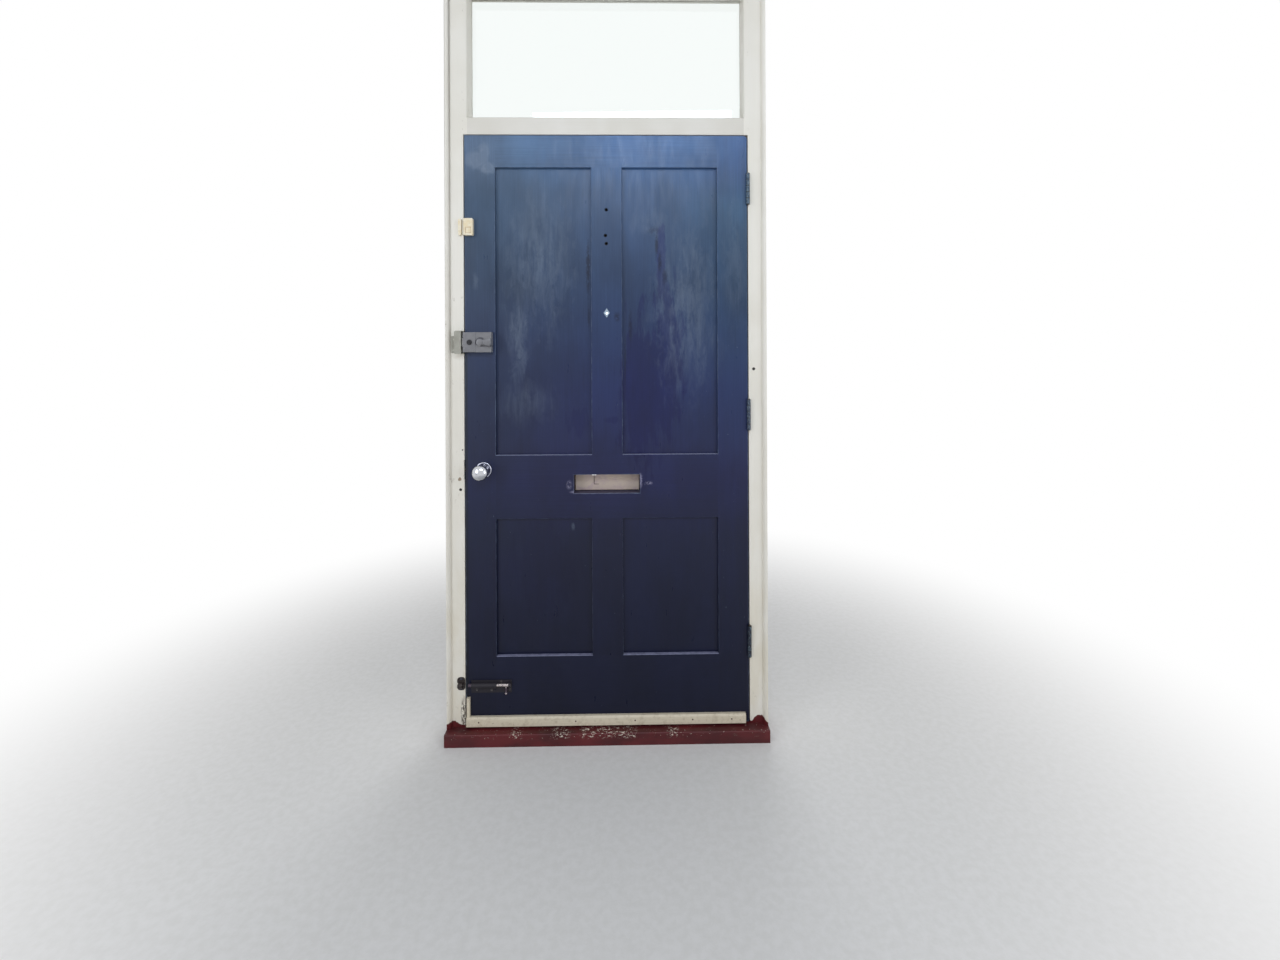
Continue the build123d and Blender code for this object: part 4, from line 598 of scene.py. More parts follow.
    def aged(self, board: Board, colour: Socket, haze: Socket, fine: Socket) -> Socket:
        """Lays what hands, cloths and knocks left over the sound paint.

        Args:
            board: The tree to add to.
            colour: The sound paint.
            haze: How much haze covers it.
            fine: A fine noise for ragged edges.

        Returns:
            The colour's socket.
        """
        deep = board.mix(1.0, colour, self.violet, "MULTIPLY")
        colour = board.mix(self.patches(board, self.clean, self.drag(board), 0.7), colour, deep)
        colour = board.mix(haze, colour, self.hazy)
        blotches = board.noise((0.05, 0.05, 0.05), 6.0, 0.62, 0.6, seed=21.0)
        rubs = self.patches(board, self.rubs, blotches)
        rubs = board.all_of(rubs, board.fade(blotches, 0.36, 0.56, 0.35, 0.62))
        colour = board.mix(rubs, colour, self.hazy)
        cracks = board.all_of(self.patches(board, self.cracks, fine), board.fade(fine, 0.36, 0.5, 0.1, 0.85))
        colour = board.mix(cracks, colour, self.crack)
        nicks = board.noise((0.004, 0.004, 0.012), 2.0, 0.5, 0.3, seed=self.seed + 5.0)
        return board.mix(board.fade(nicks, 0.76, 0.8, 0.0, 0.4), colour, self.hazy)

    def make(self) -> Material:
        """Builds the material.

        Returns:
            The material.
        """
        board = Board(self.name)
        clouds = board.fade(board.noise((0.16, 0.3, 0.34), 4.0, 0.55, seed=self.seed), 0.3, 0.7)
        strokes = board.noise(self.brush.value, 5.0, 0.62, 0.1, seed=self.seed + 1.0)
        fine = board.noise((0.012, 0.012, 0.016), 5.0, 0.7, 0.2, seed=13.0)
        haze = board.all_of(self.haze_mask(board), self.haze)
        colour = self.aged(board, self.base(board, clouds, strokes), haze, fine)
        # up-facing ledges: dust and a painted highlight where light from above catches them
        ledge = board.all_of(board.fade(board.facing_z, 0.45, 0.75), board.fade(fine, 0.35, 0.6, 0.6, 0.92))
        colour = board.mix(ledge, colour, self.dusty)
        # worn arrises, lightened as a painted highlight where they catch the light
        worn = self.worn_and_lit_edges(board)
        colour = board.mix(board.all_of(worn, 0.65), colour, self.worn)
        chipped = board.all_of(self.patches(board, self.chips, fine), board.fade(fine, 0.40, 0.54, 0.0, 0.8))
        # inside the slot: bare cut wood darkened as painted shade, with dust and a painted highlight on its
        # lip
        cut = self.slot_edges(board)
        fibres = board.noise((0.05, 0.0012, 0.0012), 4.0, 0.6, seed=4.0)
        cut_wood = board.mix(board.fade(fibres, 0.45, 0.75, 0.0, 0.7), self.cut, self.splinter)
        lip = board.all_of(ledge, board.fade(board.y, ROOM_FACE + 0.009, ROOM_FACE + 0.004))
        colour = board.mix(cut, colour, board.mix(lip, cut_wood, self.dusty))
        colour = board.mix(chipped, colour, self.splinter)
        # the muntin's holes, near-black as painted shade
        holes = board.any_of(*(board.spot(hole, self.hole_radius, 0.12) for hole in self.muntin_holes))
        holes = board.all_of(holes, self.room_side(board))
        colour = board.mix(holes, colour, self.hole)
        sheen = board.noise((0.02, 0.02, 0.09), 4.0, 0.6, seed=self.seed + 2.0)
        rough = board.fade(sheen, 0.25, 0.75, 0.27, 0.42)
        dull = board.any_of(haze, worn, cut, ledge, holes)
        rough = board.math("ADD", rough, board.all_of(dull, 0.35), clamp=True)
        height = board.plus(board.all_of(strokes, 0.7), board.all_of(clouds, 0.3))
        height = board.less(height, board.all_of(board.any_of(worn, chipped), 0.5))
        return board.coat(colour, rough, board.bump(height, 0.00035, 0.55), gloss=0.3)


@dataclass(frozen=True)
class FramePaint:
    """Old off-white gloss: brushed, chipped, yellowed and grubby low down, with red run up the feet."""

    name: str
    brush: Brush
    seed: float = 0.0
    clean: Colour = seen(233, 229, 219)
    shade: Colour = seen(222, 217, 204)
    yellow: Colour = seen(216, 207, 186)
    grime: Colour = seen(140, 128, 108)
    bare: Colour = seen(62, 48, 40)
    red: Colour = seen(92, 27, 30)
    deep_red: Colour = seen(82, 22, 26)
    # the dark of the old holes: painted shade
    hole: Colour = seen(28, 24, 22)
    brown: Colour = seen(150, 132, 112)
    peeling: Pair = (-0.473, 0.085)
    opening_edge: float = 0.4685
    handled: tuple[Point, ...] = ((1.2, 1.4, 0.12), (0.83, 0.95, 0.1))
    old_holes: tuple[Point, ...] = (
        (0.4848, 1.2089, 0.0052),
        (-0.4808, 0.8172, 0.0046),
        (-0.4740, 0.9473, 0.0026),
    )
    stain: Point = (-0.4836, 0.8513, 0.006)

    def feet(self, board: Board) -> Socket:
        """The ragged top edge of the sill's red paint, with two higher tongues.

        Args:
            board: The tree to add to.

        Returns:
            The mask's socket.
        """
        ragged = board.noise((0.022, 0.02, 0.05), 4.0, 0.6, 0.5, seed=5.0)
        ragged = board.fade(ragged, 0.25, 0.8, 0.043, 0.053)
        right = board.fade(board.off(board.x, 0.499), 0.026, 0.006, 0.0, 0.018)
        left = board.fade(board.off(board.x, -0.508), 0.030, 0.004, 0.0, 0.013)
        return board.fade(board.less(board.z, board.plus(ragged, right, left)), 0.0016, -0.0006)

    def marks(self, board: Board) -> tuple[Socket, Socket]:
        """Old screw holes, dark as painted shade, and a brown stain on the jambs.

        Args:
            board: The tree to add to.

        Returns:
            The masks of the holes and of the stain.
        """
        front = board.fade(board.y, ROOM_FACE + 0.004, ROOM_FACE + 0.001)
        holes = board.any_of(*(board.spot((x, z), radius, 0.2) for x, z, radius in self.old_holes))
        x, z, radius = self.stain
        return board.all_of(holes, front), board.all_of(board.spot((x, z), radius, 0.5), front)

    def chipped(self, board: Board) -> tuple[Socket, Socket]:
        """Chips along the opening, and paint that peels at the lock side's foot.

        Args:
            board: The tree to add to.

        Returns:
            The mask of all chips, and that of the place that peels.
        """
        chips = board.fade(board.noise((0.006, 0.006, 0.011), 3.0, 0.6, seed=12.0), 0.66, 0.7)
        edge = board.fade(board.off(board.off(board.x), self.opening_edge), 0.006, 0.001)
        chips = board.all_of(chips, edge, board.fade(board.z, 0.9, 0.2, 0.35, 1.0))
        flakes = board.fade(board.noise((0.006, 0.01, 0.016), 5.0, 0.7, 0.6, seed=14.0), 0.47, 0.52)
        peeled = board.fade(board.away_from(self.peeling, (0.012, 0.062)), 1.1, 0.4)
        peeled = board.all_of(peeled, board.fade(board.y, ROOM_FACE + 0.012, ROOM_FACE + 0.008))
        return board.any_of(chips, board.all_of(flakes, peeled)), peeled

    def make(self) -> Material:
        """Builds the material.

        Returns:
            The material.
        """
        board = Board(self.name)
        clouds = board.fade(board.noise(0.25, 3.0, 0.55, seed=self.seed), 0.35, 0.7)
        strokes = board.noise(self.brush.value, 4.0, 0.6, 0.15, seed=self.seed + 1.0)
        colour = board.mix(board.all_of(clouds, 0.6), self.clean, self.shade)
        colour = board.mix(board.fade(strokes, 0.45, 0.8, 0.0, 0.3), colour, self.shade)
        aged = board.fade(board.noise((0.05, 0.05, 0.16), 4.0), 0.32, 0.66)
        colour = board.mix(board.all_of(board.fade(board.z, 0.95, 0.15), aged, 0.6), colour, self.yellow)
        dirt = board.fade(board.noise((0.018, 0.018, 0.03), 5.0, 0.7, seed=9.0), 0.58, 0.74)
        lock_side = board.fade(board.x, -0.44, -0.47)
        handled = (board.all_of(lock_side, board.between(board.z, *heights)) for heights in self.handled)
        nearby = board.any_of(board.fade(board.z, 0.32, 0.05), *handled)
        colour = board.mix(board.all_of(dirt, nearby, 0.55), colour, self.grime)
        chips, peeled = self.chipped(board)
        colour = board.mix(chips, colour, board.mix(peeled, self.grime, self.bare))
        holes, stain = self.marks(board)
        colour = board.mix(stain, colour, self.brown)
        colour = board.mix(holes, colour, self.hole)
        feet = self.feet(board)
        red = board.mix(board.fade(board.noise(0.03, 4.0), 0.3, 0.7), self.red, self.deep_red)
        colour = board.mix(feet, colour, red)
        rough = board.fade(board.noise(0.05, 4.0, 0.6, seed=self.seed + 3.0), 0.3, 0.7, 0.34, 0.52)
        height = board.less(board.all_of(strokes, 0.35), board.any_of(holes, board.all_of(chips, 0.4)))
        height = board.plus(height, board.all_of(feet, 0.3))
        return board.coat(colour, rough, board.bump(height, 0.0007, 0.5), gloss=0.4)


@dataclass(frozen=True)
class SillPaint:
    """Red floor paint, trodden through to the pale undercoat along its front edge."""

    name: str = "sill_red"
    red: Colour = seen(94, 27, 31)
    dark: Colour = seen(64, 18, 22)
    pale: Colour = seen(226, 214, 198)
    worn_places: tuple[Pair, ...] = ((-0.075, 0.08), (-0.30, -0.29), (-0.17, -0.135), (0.205, 0.215))

    def make(self) -> Material:
        """Builds the material.

        Returns:
            The material.
        """
        board = Board(self.name)
        colour = board.mix(board.fade(board.noise((0.12, 0.05, 0.05), 4.0), 0.3, 0.7), self.red, self.dark)
        strokes = board.noise((0.12, 0.0015, 0.0015), 4.0, 0.6)
        colour = board.mix(board.fade(strokes, 0.5, 0.8, 0.0, 0.4), colour, self.dark)
        places = board.any_of(*(board.between(board.x, low, high, 0.02) for low, high in self.worn_places))
        front = board.all_of(board.fade(board.y, -0.045, -0.07), board.fade(board.z, 0.02, 0.032))
        patches = board.fade(board.noise((0.009, 0.006, 0.004), 5.0, 0.65, 0.5, seed=6.0), 0.57, 0.59)
        flecks = board.fade(board.noise((0.007, 0.005, 0.004), 3.0, 0.6, seed=8.0), 0.67, 0.70)
        worn = board.any_of(board.all_of(patches, front, places), board.all_of(flecks, front))
        colour = board.mix(worn, colour, self.pale)
        rough = board.fade(board.noise(0.03, 4.0), 0.3, 0.7, 0.34, 0.58)
        height = board.less(board.all_of(strokes, 0.4), worn)
        return board.coat(colour, rough, board.bump(height, 0.0006, 0.6), gloss=0.4)


@dataclass(frozen=True)
class PaneGlass:
    """Window glass: clear, faintly green, with dried rain low down on it."""

    name: str = "pane_glass"
    tint: Colour = (0.93, 0.97, 0.955, 1.0)

    def make(self) -> Material:
        """Builds the material.

        Returns:
            The material.
        """
        board = Board(self.name)
        drops = board.fade(board.noise((0.006, 0.006, 0.03), 4.0, 0.6), 0.55, 0.8)
        rough = board.all_of(drops, board.fade(board.z, 2.25, 2.05), 0.12)
        wave = board.bump(board.noise(0.35, 2.0), 0.0008, 0.2)
        return board.coat(self.tint, rough, wave, gloss=0.5, Transmission_Weight=1.0, IOR=1.5)


@dataclass(frozen=True)
class Metal:
    """A worn metal: plate or casting with a patina, pits, fine scratches and a brighter rub on its edges.

    Attributes:
        name: The material's name.
        bright: The metal where it is rubbed clean.
        patina: The colour of its tarnish, rust or old paint.
        cover: How much of it the patina takes, from 0 to 1.
        lump: Size of the patina's patches in metres.
        smooth: Roughness of the clean metal.
        dull: Roughness of the patina.
        patina_metal: How metallic the patina is.
        pit: Depth of its pits in metres.
        scratch: How strongly its scratches show.
        dark_within: Whether faces that don't face outside are darkened almost to black.
        grime: The colour of that darkening.
    """

    name: str
    bright: Colour
    patina: Colour
    cover: float
    lump: float = 0.006
    smooth: float = 0.2
    dull: float = 0.5
    patina_metal: float = 0.6
    pit: float = 0.0001
    scratch: float = 0.3
    dark_within: bool = False
    grime: Colour = seen(36, 30, 40)

    def make(self) -> Material:
        """Builds the material.

        Returns:
            The material.
        """
        board = Board(self.name)
        patches = board.noise(self.lump, 5.0, 0.65, 0.3)
        threshold = 0.5 + (0.5 - self.cover) * 0.5
        tarnish = board.fade(patches, threshold - 0.06, threshold + 0.06)
        scratches = board.any_of(
            board.fade(board.noise((0.012, 0.002, 0.00025), 2.0, 0.5, 0.2), 0.66, 0.72),
            board.fade(board.noise((0.00025, 0.002, 0.012), 2.0, 0.5, 0.2, seed=4.0), 0.68, 0.74),
        )
        rubbed = board.all_of(scratches, self.scratch)
        tone = board.fade(board.noise(self.lump * 0.35, 4.0, 0.6, seed=2.0), 0.3, 0.7, 0.86, 1.0)
        colour = board.mix(1.0, self.bright, board.shade_of(tone), "MULTIPLY")
        colour = board.mix(tarnish, colour, self.patina)
        colour = board.mix(rubbed, colour, self.bright)
        if self.dark_within:
            within = board.fade(board.facing_y, 0.6, 0.2)
            tarnish = board.any_of(tarnish, within)
            colour = board.mix(board.all_of(within, 0.85), colour, self.grime)
        rough = board.fade(tarnish, 0.0, 1.0, self.smooth, self.dull)
        rough = board.math("ADD", rough, board.all_of(rubbed, 0.15), clamp=True)
        metal = board.fade(tarnish, 0.0, 1.0, 1.0, self.patina_metal)
        pits = board.fade(board.cells(self.lump * 0.3), 0.1, 0.32)
        height = board.plus(board.all_of(pits, tarnish), board.all_of(patches, 0.6))
        height = board.less(height, board.all_of(rubbed, 0.3))
        return board.coat(colour, rough, board.bump(height, self.pit, 0.6), metal)


@dataclass(frozen=True)
class Overpaint:
    """Thick old paint over a metal or wood fitting, dirty and rubbed through.

    Attributes:
        name: The material's name.
        paint: The paint.
        dirt: The dirt in it.
        under: What shows where it is rubbed through.
        grain: Size of its marks in metres along X, Y and Z.
        worn: How much of it is rubbed through, from 0 to 1.
    """

    name: str
    paint: Colour
    dirt: Colour
    under: Colour
    grain: Point
    worn: float

    def make(self) -> Material:
        """Builds the material.

        Returns:
            The material.
        """
        board = Board(self.name)
        marks = board.noise(self.grain, 5.0, 0.62, 0.2)
        dirt = board.fade(board.noise(0.02, 5.0, 0.65, seed=3.0), 0.45, 0.75, 0.0, 0.6)
        colour = board.mix(dirt, self.paint, self.dirt)
        colour = board.mix(board.fade(marks, 0.45, 0.8, 0.0, 0.45), colour, self.dirt)
        threshold = 0.78 - 0.3 * self.worn
        rubbed = board.fade(board.noise(0.007, 5.0, 0.7, 0.4, seed=5.0), threshold, threshold + 0.05)
        colour = board.mix(rubbed, colour, self.under)
        rough = board.fade(marks, 0.2, 0.8, 0.36, 0.55)
        height = board.less(board.all_of(marks, 0.6), rubbed)
        return board.coat(colour, rough, board.bump(height, 0.0003, 0.5), gloss=0.4)


@dataclass(frozen=True)
class MouldedPlastic:
    """Yellowed cream plastic with a fine moulded grain, dirt in it, and a darker line round its relief."""

    name: str = "cream_plastic"
    cream: Colour = seen(240, 231, 210)
    aged: Colour = seen(230, 212, 172)
    grubby: Colour = seen(178, 146, 96)
    speck: Colour = seen(120, 100, 70)
    relief: tuple[Pair, Pair] = ((-0.449, 1.6655), (0.009, 0.009))

    def make(self) -> Material:
        """Builds the material.

        Returns:
            The material.
        """
        board = Board(self.name)
        colour = board.mix(board.fade(board.noise(0.02, 4.0, 0.6), 0.35, 0.7), self.cream, self.aged)
        outline = board.off(board.from_rectangle(board.x, *self.relief))
        colour = board.mix(board.fade(outline, 0.0016, 0.0004, 0.0, 0.7), colour, self.grubby)
        colour = board.mix(board.fade(board.cells(0.0022), 0.13, 0.05, 0.0, 0.5), colour, self.speck)
        grain = board.noise(0.0006, 3.0, 0.6)
        rough = board.fade(grain, 0.3, 0.7, 0.32, 0.46)
        return board.coat(colour, rough, board.bump(grain, 0.00006, 0.6), gloss=0.45)


@dataclass(frozen=True)
class HingePaint:
    """The leaf's paint on a hinge: paler up high as painted glare and darker low down as painted shade,
    rubbed on the barrel, dark between the knuckles.

    Attributes:
        name: The material's name.
        foot: Z of the barrel's foot.
        knuckle: Height of one knuckle.
        paint_and_light_by_height: The paint's colour at three heights, with painted shade low and painted
            glare high.
        rubbed: Its colour where the barrel is rubbed.
        chip: What shows in its chips.
        joint: The gaps between the knuckles.
    """

    name: str
    foot: float
    knuckle: float
    # painted shade low down and painted glare up high, as on the leaf
    paint_and_light_by_height: tuple[tuple[float, Colour], ...] = (
        (0.30, seen(24, 27, 42)),
        (1.05, seen(38, 46, 68)),
        (1.80, seen(58, 78, 98)),
    )
    rubbed: Colour = seen(112, 132, 142)
    chip: Colour = seen(176, 178, 178)
    joint: Colour = seen(16, 18, 24)

    def make(self) -> Material:
        """Builds the material.

        Returns:
            The material.
        """
        board = Board(self.name)
        flecks = board.noise((0.005, 0.005, 0.008), 5.0, 0.7, 0.3)
        rubbed = board.fade(flecks, 0.48, 0.62, 0.0, 0.85)
        colour = board.mix(rubbed, board.ramp(board.z, self.paint_and_light_by_height), self.rubbed)
        chips = board.fade(board.noise(0.004, 3.0, 0.6, seed=6.0), 0.66, 0.7, 0.0, 0.8)
        colour = board.mix(chips, colour, self.chip)
        from_joint = board.math("PINGPONG", board.less(board.z, self.foot), self.knuckle / 2)
        joints = board.fade(from_joint, 0.0019, 0.0008)
        colour = board.mix(joints, colour, self.joint)
        rough = board.fade(rubbed, 0.0, 1.0, 0.34, 0.46)
        height = board.less(board.all_of(flecks, 0.4), board.any_of(joints, chips))
        return board.coat(colour, rough, board.bump(height, 0.0003, 0.6), gloss=0.35)


@dataclass(frozen=True)
class LatchCasting:
    """The nightlatch's smooth grey casting: painted highlights on its up- and right-facing faces, painted
    shadow with some grime where it meets the lever.

    Attributes:
        name: The material's name.
        axis: X and Z of the lever.
        boss_radius: Radius of the lever's boss.
        tip: Half height of its paddle.
        grimy: Whether the painted shadow and grime round the lever lie on it.
        grey: The casting's grey.
        dark: The same in its darker clouds.
        rubbed: The same on its up- and right-facing faces, paled as a painted highlight.
        grime: The painted shadow and grime round the lever.
    """

    name: str
    axis: Pair
    boss_radius: float
    tip: float
    grimy: bool
    grey: Colour = seen(118, 118, 121)
    dark: Colour = seen(107, 107, 111)
    rubbed: Colour = seen(152, 153, 158)
    grime: Colour = seen(62, 62, 70)

    def shadow_and_grime_mask(self, board: Board) -> Socket:
        """A crescent of painted shadow and grime round the lever's boss, and a painted shadow line under its
        paddle.

        Args:
            board: The tree to add to.

        Returns:
            The mask's socket.
        """
        x, z = self.axis
        away = board.away_from(self.axis, (self.boss_radius, self.boss_radius))
        ring = board.all_of(board.fade(away, 0.92, 1.0), board.fade(away, 1.56, 1.42))
        upper_left = board.fade(board.less(board.x, board.z), x - z + 0.005, x - z - 0.007)
        under = board.from_rectangle(board.x, (x + 0.019, z - self.tip - 0.0002), (0.0185, 0.0011))
        return board.any_of(board.all_of(ring, upper_left), board.fade(under, 0.0012, 0.0))

    def make(self) -> Material:
        """Builds the material.

        Returns:
            The material.
        """
        board = Board(self.name)
        clouds = board.fade(board.noise(0.03, 4.0, 0.6), 0.3, 0.7)
        grain = board.noise(0.0012, 3.0, 0.6)
        colour = board.mix(clouds, self.grey, self.dark)
        # painted highlight: faces turned up or to the right are paler
        rubbed = board.any_of(board.fade(board.facing_z, 0.5, 0.8), board.fade(board.facing_x, 0.5, 0.8))
        colour = board.mix(rubbed, colour, self.rubbed)
        if self.grimy:
            # painted shadow, with some grime, round the boss and under the paddle
            colour = board.mix(board.all_of(self.shadow_and_grime_mask(board), 0.85), colour, self.grime)
        rough = board.fade(clouds, 0.0, 1.0, 0.36, 0.46)
        return board.coat(colour, rough, board.bump(grain, 0.00005, 0.5), 0.35)


@dataclass(frozen=True)
class RoseChrome:
    """Chrome with a bright rim, whose dished band is dark: part the door's paint that it caught, part a
    painted reflection of the dark door.

    Attributes:
        axis: X and Z of the rose.
        radius: Its radius.
        rim: Width of its rim.
        name: The material's name.
        bright: The chrome.
        dark: The dished band's dark, part paint and part painted reflection.
    """

    axis: Pair
    radius: float
    rim: float
    name: str = "rose_chrome"
    bright: Colour = seen(186, 188, 202)
    dark: Colour = seen(34, 36, 62)

    def make(self) -> Material:
        """Builds the material.

        Returns:
            The material.
        """
        board = Board(self.name)
        away = board.away_from(self.axis, (self.radius, self.radius))
        blotch = board.noise(0.012, 4.0, 0.6, 0.4)
        rim = self.rim / self.radius
        inside = board.fade(away, 1.0 - 0.75 * rim, 1.0 - 1.3 * rim)
        # the dished band: part paint, part painted reflection of the dark door
        dark = board.all_of(inside, board.fade(blotch, 0.62, 0.5))
        colour = board.mix(dark, self.bright, self.dark)
        rough = board.fade(dark, 0.0, 1.0, 0.1, 0.34)
        metal = board.fade(dark, 0.0, 1.0, 1.0, 0.15)
        return board.coat(colour, rough, board.bump(blotch, 0.0001, 0.4), metal)


@dataclass(frozen=True)
class RubbedRod:
    """The barrel bolt's rod: plum-dark where it hides, bright where the hand drags it.

    Attributes:
        name: The material's name.
        bright_from: X where the rod starts to be bright.
        bright_to: X where its bright stretch ends.
        arm_top: Z of the rod's underside, where the handle's arm starts.
        plum: Its colour where it hides.
        bright: Its colour where it is rubbed.
    """

    name: str = "rod_rubbed"
    bright_from: float = -0.368
    bright_to: float = -0.321
    arm_top: float = 0.1745
    plum: Colour = seen(70, 57, 70)
    bright: Colour = seen(188, 180, 178)

    def make(self) -> Material:
        """Builds the material.

        Returns:
            The material.
        """
        board = Board(self.name)
        flecks = board.noise(0.005, 5.0, 0.65, 0.3)
        stretch = board.all_of(
            board.between(board.x, self.bright_from, self.bright_to, 0.008),
            board.fade(board.z, self.arm_top - 0.004, self.arm_top, 0.3, 1.0),
        )
        threshold = board.fade(stretch, 0.0, 1.0, 0.62, 0.42)
        bright = board.fade(board.less(flecks, threshold), -0.04, 0.06)
        colour = board.mix(bright, self.plum, self.bright)
        rough = board.fade(bright, 0.0, 1.0, 0.5, 0.24)
        metal = board.fade(bright, 0.0, 1.0, 0.2, 0.9)
        return board.coat(colour, rough, board.bump(flecks, 0.0002, 0.5), metal)


@dataclass(frozen=True)
class ScrewPaint:
    """The finish of the frame's screws: cream over those of the nightlatch keeper, dark on the others."""

    name: str = "screw_painted"
    dark: tuple[Colour, Colour] = (seen(48, 50, 64), seen(120, 116, 112))
    cream: tuple[Colour, Colour] = (seen(190, 188, 176), seen(150, 146, 134))
    keeper_edge: float = -0.40
    keeper_heights: Pair = (1.20, 1.40)

    def make(self) -> Material:
        """Builds the material.

        Returns:
            The material.
        """
        board = Board(self.name)
        flecks = board.noise(0.003, 4.0, 0.65)
        beside = board.fade(board.x, self.keeper_edge, self.keeper_edge - 0.02)
        keeper = board.all_of(beside, board.between(board.z, *self.keeper_heights, 0.02))
        dark = board.mix(board.fade(flecks, 0.5, 0.65), *self.dark)
        cream = board.mix(board.fade(flecks, 0.5, 0.7), *self.cream)
        colour = board.mix(keeper, dark, cream)
        rough = board.fade(flecks, 0.3, 0.7, 0.38, 0.55)
        return board.coat(colour, rough, board.bump(flecks, 0.0002, 0.5), gloss=0.4)


# Meshes
def piece_of(name: str, mesh: bpy.types.Mesh) -> Thing:
    """Puts a mesh into the scene as an object at the origin.

    Args:
        name: The object's name.
        mesh: Its mesh, with its place in its vertices.

    Returns:
        The object.
    """
    thing = bpy.data.objects.new(name, mesh)
    bpy.context.scene.collection.objects.link(thing)
    return thing


def smooth(mesh: bpy.types.Mesh, crease: float = CREASE) -> None:
    """Shades a mesh smooth, but for edges from an angle in degrees on."""
    mesh.polygons.foreach_set("use_smooth", [True] * len(mesh.polygons))
    mesh.set_sharp_from_angle(angle=math.radians(crease))


def finished(name: str, shape: Shape, material: Material, crease: float = CREASE) -> Thing:
    """Closes a shape into a smooth-shaded piece with sharp creases.

    Args:
        name: The piece's name.
        shape: Its faces, which are used up.
        material: Its finish.
        crease: The angle in degrees from which an edge stays sharp.

    Returns:
        The piece.
    """
    bmesh.ops.remove_doubles(shape, verts=shape.verts, dist=1e-7)
    bmesh.ops.recalc_face_normals(shape, faces=shape.faces)
    mesh = bpy.data.meshes.new(name)
    shape.to_mesh(mesh)
    shape.free()
    smooth(mesh, crease)
    mesh.materials.append(material)
    return piece_of(name, mesh)


def add_lathed(shape: Shape, profile: Sequence[Pair], foot: Vector, way: Vector, sides: int = 96) -> None:
    """Turns a profile round an axis and adds the closed skin to a shape.

    Args:
        shape: The shape.
        profile: Radius and distance along the axis of each corner; a radius of 0 is a pole.
        foot: Where the axis starts.
        way: Its direction.
        sides: Faces round the axis.
    """
    turn = way.to_track_quat("Z", "X").to_matrix()
    angles = [FULL_TURN * number / sides for number in range(sides)]
    rings = []
    for radius, along in profile:
        round_it = angles if radius else angles[:1]
        spokes = [Vector((radius * math.cos(angle), radius * math.sin(angle), along)) for angle in round_it]
        rings.append([shape.verts.new(foot + turn @ spoke) for spoke in spokes])
    closed = len(rings[0]) > 1 or len(rings[-1]) > 1
    for first, second in zip(rings, rings[1:] + rings[:1] if closed else rings[1:]):
        for number in range(sides):
            after = (number + 1) % sides
            if len(first) == 1:
                shape.faces.new((first[0], second[number], second[after]))
            elif len(second) == 1:
                shape.faces.new((first[number], second[0], first[after]))
            else:
                shape.faces.new((first[number], second[number], second[after], first[after]))


def add_slab(shape: Shape, outline: Sequence[Pair], near: float, far: float, ease: float) -> None:
    """Adds an upright slab with eased edges to a shape.

    Args:
        shape: The shape.
        outline: X and Z of its corners.
        near: Its Y on the room's side.
        far: Its Y on the other side.
        ease: The radius of its edges.
    """
    fresh = bmesh.new()
    front = [fresh.verts.new((x, near, z)) for x, z in outline]
    back = [fresh.verts.new((x, far, z)) for x, z in outline]
    fresh.faces.new(front)
    fresh.faces.new(list(reversed(back)))
    for corners in zip(front, back, back[1:] + back[:1], front[1:] + front[:1]):
        fresh.faces.new(corners)
    bmesh.ops.recalc_face_normals(fresh, faces=fresh.faces)
    rounding = {"offset": ease, "segments": 3, "profile": 0.5, "affect": "EDGES", "clamp_overlap": True}
    bmesh.ops.bevel(fresh, geom=list(fresh.edges), **rounding)
    spare = bpy.data.meshes.new("slab")
    fresh.to_mesh(spare)
    fresh.free()
    shape.from_mesh(spare)
    bpy.data.meshes.remove(spare)


def curve_through(start: Pair, end: Pair, leave: float, arrive: float, steps: int) -> list[Pair]:
    """A smooth profile between two corners, as radius and distance along the axis.

    Args:
        start: The first corner.
        end: The last corner.
        leave: Direction at the start, in degrees from outward, towards along.
        arrive: Direction at the end.
        steps: How many parts it has.

    Returns:
        The profile's corners.
    """
    reach = math.dist(start, end)
    ways = (math.radians(leave), math.radians(arrive))
    pull, push = ((math.cos(way) * reach, math.sin(way) * reach) for way in ways)
    corners = []
    for number in range(steps + 1):
        t = number / steps
        weights = (2 * t**3 - 3 * t**2 + 1, t**3 - 2 * t**2 + t, -2 * t**3 + 3 * t**2, t**3 - t**2)
        parts = list(zip(weights, (start, pull, end, push)))
        corners.append(tuple(sum(weight * part[axis] for weight, part in parts) for axis in (0, 1)))
    return corners


def islands(node: str) -> list[list[Vector]]:
    """The corners of each separate solid in a node.

    Args:
        node: The node's name.

    Returns:
        One list of corners for each solid.
    """
    shape = bmesh.new()
    shape.from_mesh(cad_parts[node].data)
    bmesh.ops.remove_doubles(shape, verts=shape.verts, dist=1e-6)
    left = set(shape.verts)
    found = []
    while left:
        waiting = [left.pop()]
        members = []
        while waiting:
            corner = waiting.pop()
            members.append(corner.co.copy())
            for edge in corner.link_edges:
                other = edge.other_vert(corner)
                if other in left:
                    left.remove(other)
                    waiting.append(other)
        found.append(members)
    shape.free()
    return sorted(found, key=lambda corners: tuple(round(part, 4) for part in min(map(tuple, corners))))


